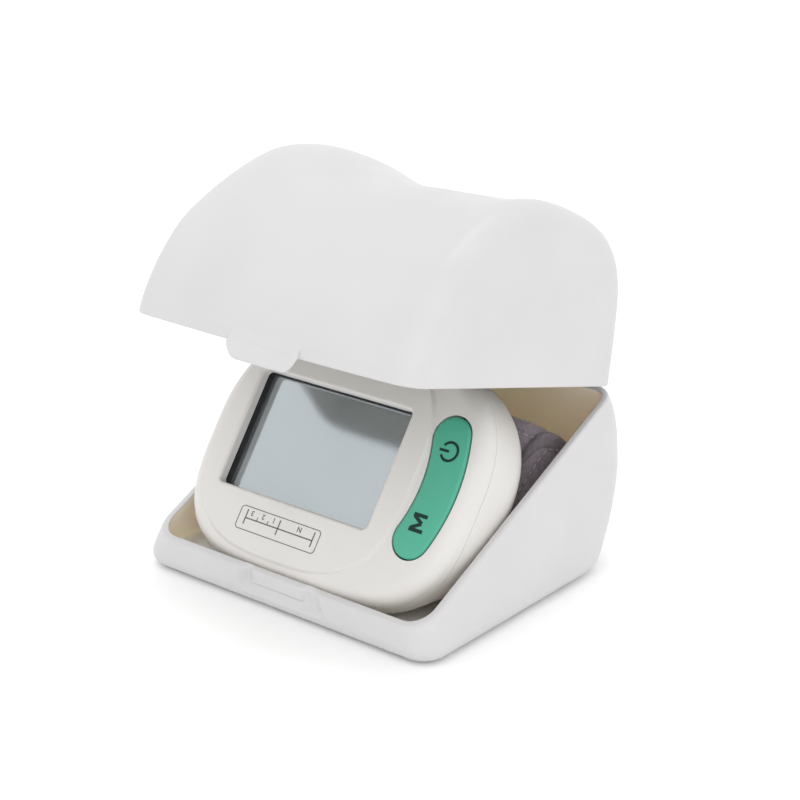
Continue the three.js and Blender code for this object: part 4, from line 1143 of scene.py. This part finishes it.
pane = laid_plate("display_pane", window_outline(PLATE_LAP), PANE_DEPTH, 0.15, 0.15)
finish_piece(pane, "case", [pane_finish], ["window_lens"])
mask = laid_plate("display_mask", window_outline(PLATE_LAP), MASK_DEPTH, 0.1)
combine(mask, stack(mask_opening(), [(0, -MASK_DEPTH[1] - 1), (0, -MASK_DEPTH[0] + 1)]), on_monitor)
finish_piece(mask, "case", [bezel_black], ["lcd_mask"])
glass = laid_plate("display_glass_plate", rounded_oblong(*GLASS_BACK, 2.2), GLASS_DEPTH, 0.1, 0.1)
glass_front = soft_plate(mask_opening(-0.04), -GLASS_DEPTH[0] - 0.5, -GLASS_FRONT, 0.05)
combine(glass, glass_front, on_monitor, "UNION")
finish_piece(glass, "case", [lcd_finish], ["lcd_panel"])

# %% The rear shell
SCREWS = [(-0.63 * BODY_HALF, -0.735 * BODY_LOWER), (0.45 * BODY_HALF, -0.768 * BODY_LOWER),
          (-32.4, 8.0), (0.645 * BODY_HALF, 0.672 * BODY_UPPER)]
WELL_TOP = -10.1
COVER_MIDDLE = -3.0
COVER_HALF = 20.0
COVER_FROM = 17.5
COVER_NEAR = 9.0
COVER_FAR = 18.5
MANIFOLD = (8.0, -4.0)
COVER_DEPTH = -(COVER_NEAR + COVER_FAR) / 2
PILLAR, HEAD_ROOM, SHANK_ROOM, AIR_HOLE = 3.2, 2.3, 1.15, 1.8
PAST_BACK = -BODY_DEPTH - 3


def cover_space(margin):
    size = (2 * (COVER_HALF + margin), COVER_FAR - COVER_NEAR + 2 * margin)
    outline = rounded_oblong((COVER_MIDDLE, COVER_DEPTH), size, 0.8 + margin, 6)
    return loft([[(x, s, out) for x, out in outline]
                 for s in (COVER_FROM - margin, BODY_UPPER + 5)])


def inward_bar(radius, x, s, start):
    return round_bar(radius, (x, s, start), (x, s, PAST_BACK))


rear_outside = rear_skin(0, SHELL_JOIN + 0.3)
rear_inside = rear_skin(SHELL_WALL, SHELL_JOIN - 3)
rear = make_mesh("monitor_rear", rear_outside, on_monitor)
combine(rear, rear_inside, on_monitor)
for x, s in SCREWS:
    pillar = make_mesh("pillar", inward_bar(PILLAR, x, s, WELL_TOP), on_monitor)
    combine(pillar, rear_outside, on_monitor, "INTERSECT")
    combine(rear, pillar, how="UNION")
for x, s in SCREWS:
    combine(rear, inward_bar(HEAD_ROOM, x, s, WELL_TOP - 1.6), on_monitor)
    combine(rear, inward_bar(SHANK_ROOM, x, s, WELL_TOP + 3), on_monitor)
combine(rear, inward_bar(AIR_HOLE, *MANIFOLD, -8.6), on_monitor)
combine(rear, cover_space(0.35), on_monitor)
finish_piece(rear, "case", [monitor_white], ["rear_shell"])

# %% The battery cover
cover = make_mesh("battery_lid", rear_outside, on_monitor)
combine(cover, rear_inside, on_monitor)
combine(cover, cover_space(0), on_monitor, "INTERSECT")
ridge_outline = rounded_oblong((COVER_MIDDLE, COVER_DEPTH), (2 * COVER_HALF / 3, 1.6), 0.75, 6)
ridge = soft_plate(ridge_outline, BODY_UPPER - SHELL_WALL, BODY_UPPER + 0.8, 0.5)
combine(cover, ([(x, s, out) for x, out, s in ridge[0]], ridge[1]), on_monitor, "UNION")
finish_piece(cover, "cover", [monitor_white], ["battery_cover"])

# %% [markdown]
# ### The green strip
#
# One curved strip carries both keys. It is a plate with a soft edge and a face that is slightly
# domed across its width, so it catches the light along its length. The two key symbols are printed
# on it: thin plates of dark ink that follow the face and move with the strip.

# %% The strip
STRIP_TOP = 0.0
STRIP_LOW = -3.15
STRIP_SOFT = 0.8
STRIP_MARGINS = (1.4, 2.0, 2.6, 3.2, 3.8, 4.3, 4.6)
STRIP_EARS = ((STRIP_X - STRIP_WIDTH / 2 - 1.35, STRIP_X),
              (STRIP_X, STRIP_X + STRIP_WIDTH / 2 + 0.175))
EAR_HALF, EAR_LOW, EAR_HIGH = 2.5, -3.5, -2.8


def strip_dome(x, s, out):
    radial = math.hypot(x - STRIP_X + STRIP_ARC, s - STRIP_S) - STRIP_ARC
    turn = math.atan2(s - STRIP_S, x - STRIP_X + STRIP_ARC)
    past = max(0, abs(turn) - STRIP_TURN) * STRIP_ARC
    share = min(1, math.hypot(radial, past) / (STRIP_WIDTH / 2))
    return out - 0.28 * share ** 2 * max(0, 1 + out / 2)


def green_strip():
    levels = [(-STRIP_SOFT * across, STRIP_TOP - STRIP_SOFT * down)
              for across, down in quarter_turn(6)]
    levels += [(-margin, STRIP_TOP) for margin in STRIP_MARGINS]
    rings = [[(x, s, STRIP_LOW) for x, s in strip_outline(0)]]
    for margin, out in levels:
        rings.append([(x, s, strip_dome(x, s, out)) for x, s in strip_outline(margin)])
    return loft(rings)


strip = make_mesh("key_strip", green_strip(), on_monitor)
for low, high in STRIP_EARS:
    ear = block((low, STRIP_S - EAR_HALF, EAR_LOW), (high, STRIP_S + EAR_HALF, EAR_HIGH))
    combine(strip, ear, on_monitor, "UNION")
finish_piece(strip, "button", [key_green], ["button_strip"])

# %% [markdown]
# ### Printed marks
#
# Ink is a film a few hundredths of a millimetre thick. Each mark is a thin plate on the surface
# that carries it. The key symbols face up the strip, and the small scale under the display is
# upside down as seen here, because the monitor lies with its head towards the viewer. Only plain
# figures are drawn on the scale.

# %% Ink and the stamp for marks
ink_dark = moulded_plastic("ink_dark", (0.008, 0.03, 0.024), gloss=0.6, grain=0.0004)
ink_dark.node_tree.nodes["Principled BSDF"].inputs["Specular IOR Level"].default_value = 0.2
ink_grey = moulded_plastic("ink_grey", (0.11, 0.115, 0.12), gloss=0.5, grain=0.0004)
INK = 0.04


def printed_plate(name, outlines, body, finish, height_at=None):
    plates = [stack(outline, [(0, -0.05), (0, INK)]) for outline in outlines]
    points, faces = merged(*plates)
    if height_at:
        points = [(x, s, out + height_at(x, s)) for x, s, out in points]
    finish_piece(make_mesh(name, (points, faces), on_monitor), body, [finish])


def turned(outline, centre, turn):
    c, s = math.cos(turn), math.sin(turn)
    return [(centre[0] + x * c - y * s, centre[1] + x * s + y * c) for x, y in outline]


def stroke(points, width):
    half = width / 2
    left, right = [], []
    for i, (x, y) in enumerate(points):
        ax, ay = points[max(i - 1, 0)]
        bx, by = points[min(i + 1, len(points) - 1)]
        length = math.dist((ax, ay), (bx, by))
        nx, ny = -(by - ay) / length * half, (bx - ax) / length * half
        left.append((x + nx, y + ny))
        right.append((x - nx, y - ny))
    return left + right[::-1]


print("ink is", INK, "mm thick")

# %% The two key symbols
POWER_AT = (29.3, 8.1)
LETTER_AT = (28.6, -8.7)
KEY_TURN = math.pi / 2
SYMBOL_LINE = 0.62
LETTER_LINE = 0.85
LETTER_LINES = [((-1.7, -1.85), (-1.7, 1.85)), ((1.7, -1.85), (1.7, 1.85)),
                ((-1.45, 1.6), (0, -1.0)), ((1.45, 1.6), (0, -1.0))]


def strip_height(x, s):
    return strip_dome(x, s, 0.0)


def short_strokes(a, b, width, count=6):
    """A straight stroke in short lengths, so that it can follow the strip's dome."""
    at = [[low + (high - low) * i / count for low, high in zip(a, b)] for i in range(count + 1)]
    return [stroke([p, q], width) for p, q in zip(at, at[1:])]


ring_gap = math.radians(30)
ring_start = math.pi / 2 + ring_gap
ring_line = arc_points((0, 0), 2.1, ring_start, ring_start + 2 * (math.pi - ring_gap), 30)
power = [turned(stroke(line, SYMBOL_LINE), POWER_AT, KEY_TURN)
         for line in (ring_line, [(0, 0.1), (0, 1.3), (0, 2.7)])]
letter = [turned(piece, LETTER_AT, KEY_TURN)
          for a, b in LETTER_LINES for piece in short_strokes(a, b, LETTER_LINE)]
printed_plate("power_symbol", power, "button", ink_dark, strip_height)
printed_plate("mode_symbol", letter, "button", ink_dark, strip_height)


# %% The small scale
def line_between(a, b, width):
    return stroke([a, ((a[0] + b[0]) / 2, (a[1] + b[1]) / 2), b], width)


def frame_outline(centre, size, radius, width):
    outer = rounded_oblong(centre, size, radius, 6)
    inner = rounded_oblong(centre, (size[0] - 2 * width, size[1] - 2 * width), radius - width, 6)
    pairs = list(zip(outer, inner))
    return [[a, b, b_in, a_in] for (a, a_in), (b, b_in) in zip(pairs, pairs[1:] + pairs[:1])
            if math.dist(a, b) > 1e-6]


scale_marks = [line_between((-16.4, -19.9), (3.8, -19.9), 0.3)]
scale_marks += [line_between((x, -21.4), (x, -17.9), 0.32) for x in (-16.4, -6.5, 3.8)]
scale_marks += [line_between((x, -19.9), (x, -19.0), 0.2) for x in (-13.0, -9.8)]
scale_marks += frame_outline((-6.5, -19.95), (24, 5.6), 1.0, 0.2)
printed_plate("scale_lines", scale_marks, "case", ink_grey)


FIGURE_HEIGHT = 1.25
CAPITAL = 0.72
SCALE_FIGURES = (("3", -14.8), ("2", -11.5), ("1", -8.3), ("N", -0.6))
SCALE_FIGURES_S = -18.45


def figure(text, centre):
    """A plain figure, upside down like the scale; a capital takes up most of a letter's size."""
    name = "scale_figure_" + text
    curve = bpy.data.curves.new(name, "FONT")
    curve.body = text
    curve.align_x = curve.align_y = "CENTER"
    curve.size = FIGURE_HEIGHT / CAPITAL
    curve.extrude = 0.045
    curve.offset = 0.02
    written = add_object(name, curve)
    depsgraph = bpy.context.evaluated_depsgraph_get()
    mesh = bpy.data.meshes.new_from_object(written.evaluated_get(depsgraph))
    bpy.data.objects.remove(written)
    for vertex in mesh.vertices:
        x, y, out = vertex.co
        vertex.co = [MM * c for c in on_monitor(centre[0] - x, centre[1] - y, out)]
    finish_piece(add_object(name, mesh), "case", [ink_grey])


for text, x in SCALE_FIGURES:
    figure(text, (x, SCALE_FIGURES_S))

# %% [markdown]
# ### The cuff
#
# The cuff is a padded loop: cloth outside and inside, and a springy band and an air bladder
# between. Its section is a flat pad with a round top. It is built as a hoop of such sections that
# follow the space between the monitor's back and the case's rear wall.

# %% The cuff's plan
CUFF_WALL = 6.0
CUFF_HALF = 31.0
CUFF_TOP = 25.0
CUFF_FOOT = CASE_FLOOR + 0.3
CUFF_FRONT_DEPTH = BODY_DEPTH + 2.2
CUFF_CLEAR = 1.2
CUFF_FOOT_ROUND = 2.2
CUFF_STEPS = 128
CUFF_SQUARE = 2 / 2.5
CUFF_LEVELS = 22
CUFF_CROWN = 8


def cuff_front_y(z):
    s = (z - FACE_Z + CUFF_FRONT_DEPTH * math.cos(LEAN)) / math.sin(LEAN)
    return FACE_Y + s * math.cos(LEAN) + CUFF_FRONT_DEPTH * math.sin(LEAN)


def cuff_point(z, inset, spoke):
    """A point of the loop at a height, on one of its spokes, drawn in from its outer skin."""
    near = cuff_front_y(z) + inset
    far = min(rear_wall_y(z), rear_wall_y(BELLY)) - CASE_WALL - CUFF_CLEAR - inset
    foot = min(max(1 - (z - CUFF_FOOT) / CUFF_FOOT_ROUND, 0), 1)
    half = (far - foot * CUFF_CLEAR - near) / 2
    turn = spoke / CUFF_STEPS * 2 * math.pi
    return (
        (CUFF_HALF - inset) * powered(math.cos(turn), CUFF_SQUARE),
        near + half + half * powered(math.sin(turn), CUFF_SQUARE),
        z,
    )


def height_of(level_of, inset, spoke, rounds=14, ease=1.0):
    """The height where a spoke reaches a level above the display's plane, found step by step."""
    z = FACE_Z
    for _ in range(rounds):
        y = cuff_point(z, inset, spoke)[1]
        z += (FACE_Z + (level_of(y) - (y - FACE_Y) * math.cos(LEAN)) / math.sin(LEAN) - z) * ease
    return z


def cuff_height(spoke, level, inset):
    return height_of(lambda y: level, inset, spoke)


def cuff_section(spoke):
    """Up the loop's outer skin, over its round top and down its inner skin."""
    half = CUFF_WALL / 2

    def column(inset):
        rise = cuff_height(spoke, CUFF_TOP - half, inset) - CUFF_FOOT
        return [cuff_point(CUFF_FOOT + rise * i / CUFF_LEVELS, inset, spoke)
                for i in range(CUFF_LEVELS + 1)]

    top = []
    for step in range(1, 2 * CUFF_CROWN):
        angle = step / CUFF_CROWN * math.pi / 2
        inset = half - half * math.cos(angle)
        level = CUFF_TOP - half + half * math.sin(angle)
        top.append(cuff_point(cuff_height(spoke, level, inset), inset, spoke))
    return column(0) + top + column(CUFF_WALL)[::-1]


print("the loop is", 2 * CUFF_HALF, "mm wide")

# %% [markdown]
# A padded piece is swollen by the cloth solver. The mesh is copied at ten times its size, given an
# even net by a voxel remesh, and blown up by a small pressure while its sewn lines are held. No
# point may move further than a cap, so the pad stays in its place. Seams are pressed in afterwards.

# %% Swell a pad with the cloth solver
GROW = 10
FILLING = 4.0
SWELL_FRAMES = 20


def swell(piece, net, cap, sewn):
    """Blow a pad up where it isn't sewn, by the cap at most; net is the even net's width."""
    unit = GROW * MM
    piece.data.transform(Matrix.Scale(GROW, 4))
    even = piece.modifiers.new("even_net", "REMESH")
    even.mode = "VOXEL"
    even.voxel_size = net * unit
    settle(piece)
    before = [vertex.co.copy() for vertex in piece.data.vertices]
    held = piece.vertex_groups.new(name="sewn")
    held.add([i for i, place in enumerate(before) if sewn(*(place / unit))], 1.0, "REPLACE")
    filling = piece.modifiers.new("filling", "CLOTH")
    filling.settings.use_pressure = True
    filling.settings.uniform_pressure_force = FILLING
    filling.settings.effector_weights.gravity = 0
    filling.settings.vertex_group_mass = held.name
    filling.point_cache.frame_start = 1
    filling.point_cache.frame_end = SWELL_FRAMES
    for step in range(1, SWELL_FRAMES + 1):
        bpy.context.scene.frame_set(step)
    settle(piece)
    furthest = 0
    for vertex, start in zip(piece.data.vertices, before):
        move = vertex.co - start
        furthest = max(furthest, move.length)
        if move.length > cap * unit:
            vertex.co = start + move * (cap * unit / move.length)
    piece.data.transform(Matrix.Scale(1 / GROW, 4))
    finer = piece.modifiers.new("finer_net", "SUBSURF")
    finer.levels = finer.render_levels = 1
    settle(piece)
    bpy.context.scene.frame_set(1)
    print(piece.name, "swelled by up to", round(furthest / unit, 2), "mm, capped at", cap)


def press_seams(piece, depth, width, distance_to_seam):
    mesh = piece.data
    normals = [vertex.normal.copy() for vertex in mesh.vertices]
    for vertex, normal in zip(mesh.vertices, normals):
        away = distance_to_seam(*(vertex.co / MM)) / width
        if away < 3:
            vertex.co -= normal * (depth * MM * math.exp(-away * away))


print("pads swell over", SWELL_FRAMES, "frames", "")


# %% The loop
SEAM_LEVEL = CUFF_TOP - 3.4


def face_level(x, y, z):
    return (y - FACE_Y) * math.cos(LEAN) + (z - FACE_Z) * math.sin(LEAN)


def loop_sewn(x, y, z):
    return z < CUFF_FOOT + 1.6 or abs(face_level(x, y, z) - SEAM_LEVEL) < 0.6


cuff = make_mesh("cuff_pad", hoop([cuff_section(spoke) for spoke in range(CUFF_STEPS)]))
swell(cuff, 1.15, 0.9, loop_sewn)
press_seams(cuff, 0.4, 0.55, lambda x, y, z: abs(face_level(x, y, z) - SEAM_LEVEL))
print("cuff faces:", len(cuff.data.polygons))
finish_piece(cuff, "case", [cuff_cloth], ["cuff_sleeve"], sharp=80)

# %% [markdown]
# The loose end of the cuff lies over the loop's right side. Its upper edge starts low beside the
# monitor and climbs to the loop's top towards the rear. A folded tape binds that edge, with one row
# of light stitches along it.

# %% The loose end's edge and its body
FLAP_OUT = 1.75
FLAP_IN = 0.35
FLAP_LOW = CASE_FLOOR + 8.0
FLAP_SEAM = 3.6
FLAP_EDGE = [(12.0, 9.0), (15.0, 11.8), (18.5, 17.2), (20.1, 19.7), (22.1, 22.3), (23.1, 23.2),
             (24.6, 23.9), (27.0, 24.2), (34.0, 24.2)]
FLAP_TURNS = (-0.2 * CUFF_STEPS / 2, 0.36 * CUFF_STEPS / 2)
FLAP_COLUMNS = 44


def flap_top(spoke, inset, below):
    return height_of(lambda y: level_at(FLAP_EDGE, y) - below, inset, spoke, rounds=30, ease=0.6)


def flap_section(spoke, outer, inner, low, below, crown=0.0, rows=20, turns=6):
    """One ring round the flap, up its outer face, over its edge and down its inner face."""
    high = flap_top(spoke, -outer, below)
    middle, half = (outer + inner) / 2, (outer - inner) / 2
    foot, head = low + half, high - half

    def face(start, end, out, crown):
        return [cuff_point(
            start + (end - start) * share, -out - crown * 4 * share * (1 - share), spoke)
            for share in (row / rows for row in range(rows + 1))]

    def edge(z, way):
        angles = [step / turns * math.pi for step in range(1, turns)]
        return [cuff_point(z + way * half * math.sin(a), -middle - way * half * math.cos(a), spoke)
                for a in angles]

    up, down = face(foot, head, outer, crown), face(head, foot, inner, 0)
    return up + edge(head, 1) + down + edge(foot, -1)


def flap_spokes(count, trim=0.0):
    first, last = FLAP_TURNS[0] + trim, FLAP_TURNS[1] - trim
    return [first + (last - first) * i / (count - 1) for i in range(count)]


def to_flap_seam(x, y, z):
    return face_level(x, y, z) - level_at(FLAP_EDGE, y) + FLAP_SEAM


def flap_sewn(x, y, z):
    return z < FLAP_LOW + 1 or to_flap_seam(x, y, z) > 0


flap = make_mesh("cuff_flap", loft([
    flap_section(spoke, FLAP_OUT, FLAP_IN, FLAP_LOW, 0.3, 0.25)
    for spoke in flap_spokes(FLAP_COLUMNS)]))
swell(flap, 0.55, 0.5, flap_sewn)
press_seams(flap, 0.25, 0.5, lambda x, y, z: abs(to_flap_seam(x, y, z)))
finish_piece(flap, "case", [cuff_cloth], ["cuff_tail"], sharp=80)

# %% The tape that binds the loose end, and its stitches
TAPE = 0.32
STITCH_LONG = 1.3
STITCH_THICK = 0.26
STITCH_STEP = 1.55 * STITCH_LONG
STITCH_FIRST = 0.4
TAPE_STITCHES_BELOW = 3.0


def tape_section(spoke):
    high = flap_top(spoke, -FLAP_OUT - TAPE, -0.1)
    return flap_section(spoke, FLAP_OUT + TAPE, 0.12, high - 3.7, -0.1, 0.06, rows=8)


tape = make_mesh("flap_tape", loft([
    tape_section(spoke) for spoke in flap_spokes(FLAP_COLUMNS, -0.15)]))
finish_piece(tape, "case", [binding_cloth], sharp=60)


def stitch_row(name, points):
    """Short round stitches laid along a line of points, each sunk a little into the cloth."""
    bodies = []
    path = [Vector(point) for point in points]
    walked, wait = 0.0, STITCH_FIRST
    for a, b in zip(path, path[1:]):
        span = (b - a).length
        if span < 1e-6:
            continue
        while wait <= walked + span:
            at = a + (b - a) * ((wait - walked) / span)
            along = (b - a).normalized() * STITCH_LONG / 2
            bodies.append(round_bar(STITCH_THICK / 2, at - along, at + along, steps=8, edge=0.1))
            wait += STITCH_STEP
        walked += span
    finish_piece(make_mesh(name, merged(*bodies)), "case", [thread], sharp=60)


tape_out = FLAP_OUT + TAPE
tape_line = [cuff_point(flap_top(spoke, -tape_out, TAPE_STITCHES_BELOW), -tape_out - 0.07, spoke)
             for spoke in flap_spokes(160)]
stitch_row("flap_stitches", tape_line)
loop_line = [cuff_point(cuff_height(spoke, SEAM_LEVEL, 0), -0.42, spoke)
             for spoke in range(CUFF_STEPS + 1)]
stitch_row("loop_stitches", loop_line)

# %% [markdown]
# ### Pieces kept from the model
#
# The small hard pieces inside have their right shape already, so they only get their own finish and
# smooth shading.

# %% Dress the kept pieces
dressed = {
    "hinge_pin battery_contact_1 battery_contact_2 battery_spring_1 battery_spring_2": steel,
    "shell_screw_1 shell_screw_2 shell_screw_3 shell_screw_4": steel,
    "main_chip pressure_sensor buzzer button_switch_1 button_switch_2": part_black,
    "lcd_connector air_manifold pump_hose valve_hose cuff_bladder": hose_rubber,
    "lcd_holder cuff_bracket": bracket_cream,
    "pump_head cuff_former": former_plastic,
    "pump_motor exhaust_valve": can_metal,
    "battery_1 battery_2": cell_wrap,
    "circuit_board": board_finish,
}
for nodes, finish in dressed.items():
    for node in nodes.split():
        for slot in cad[node].material_slots:
            slot.link = "OBJECT"
            slot.material = finish
        cad[node].data.shade_smooth()
        cad[node].data.set_sharp_from_angle(angle=math.radians(32))
print("kept pieces dressed:", sum(len(nodes.split()) for nodes in dressed))
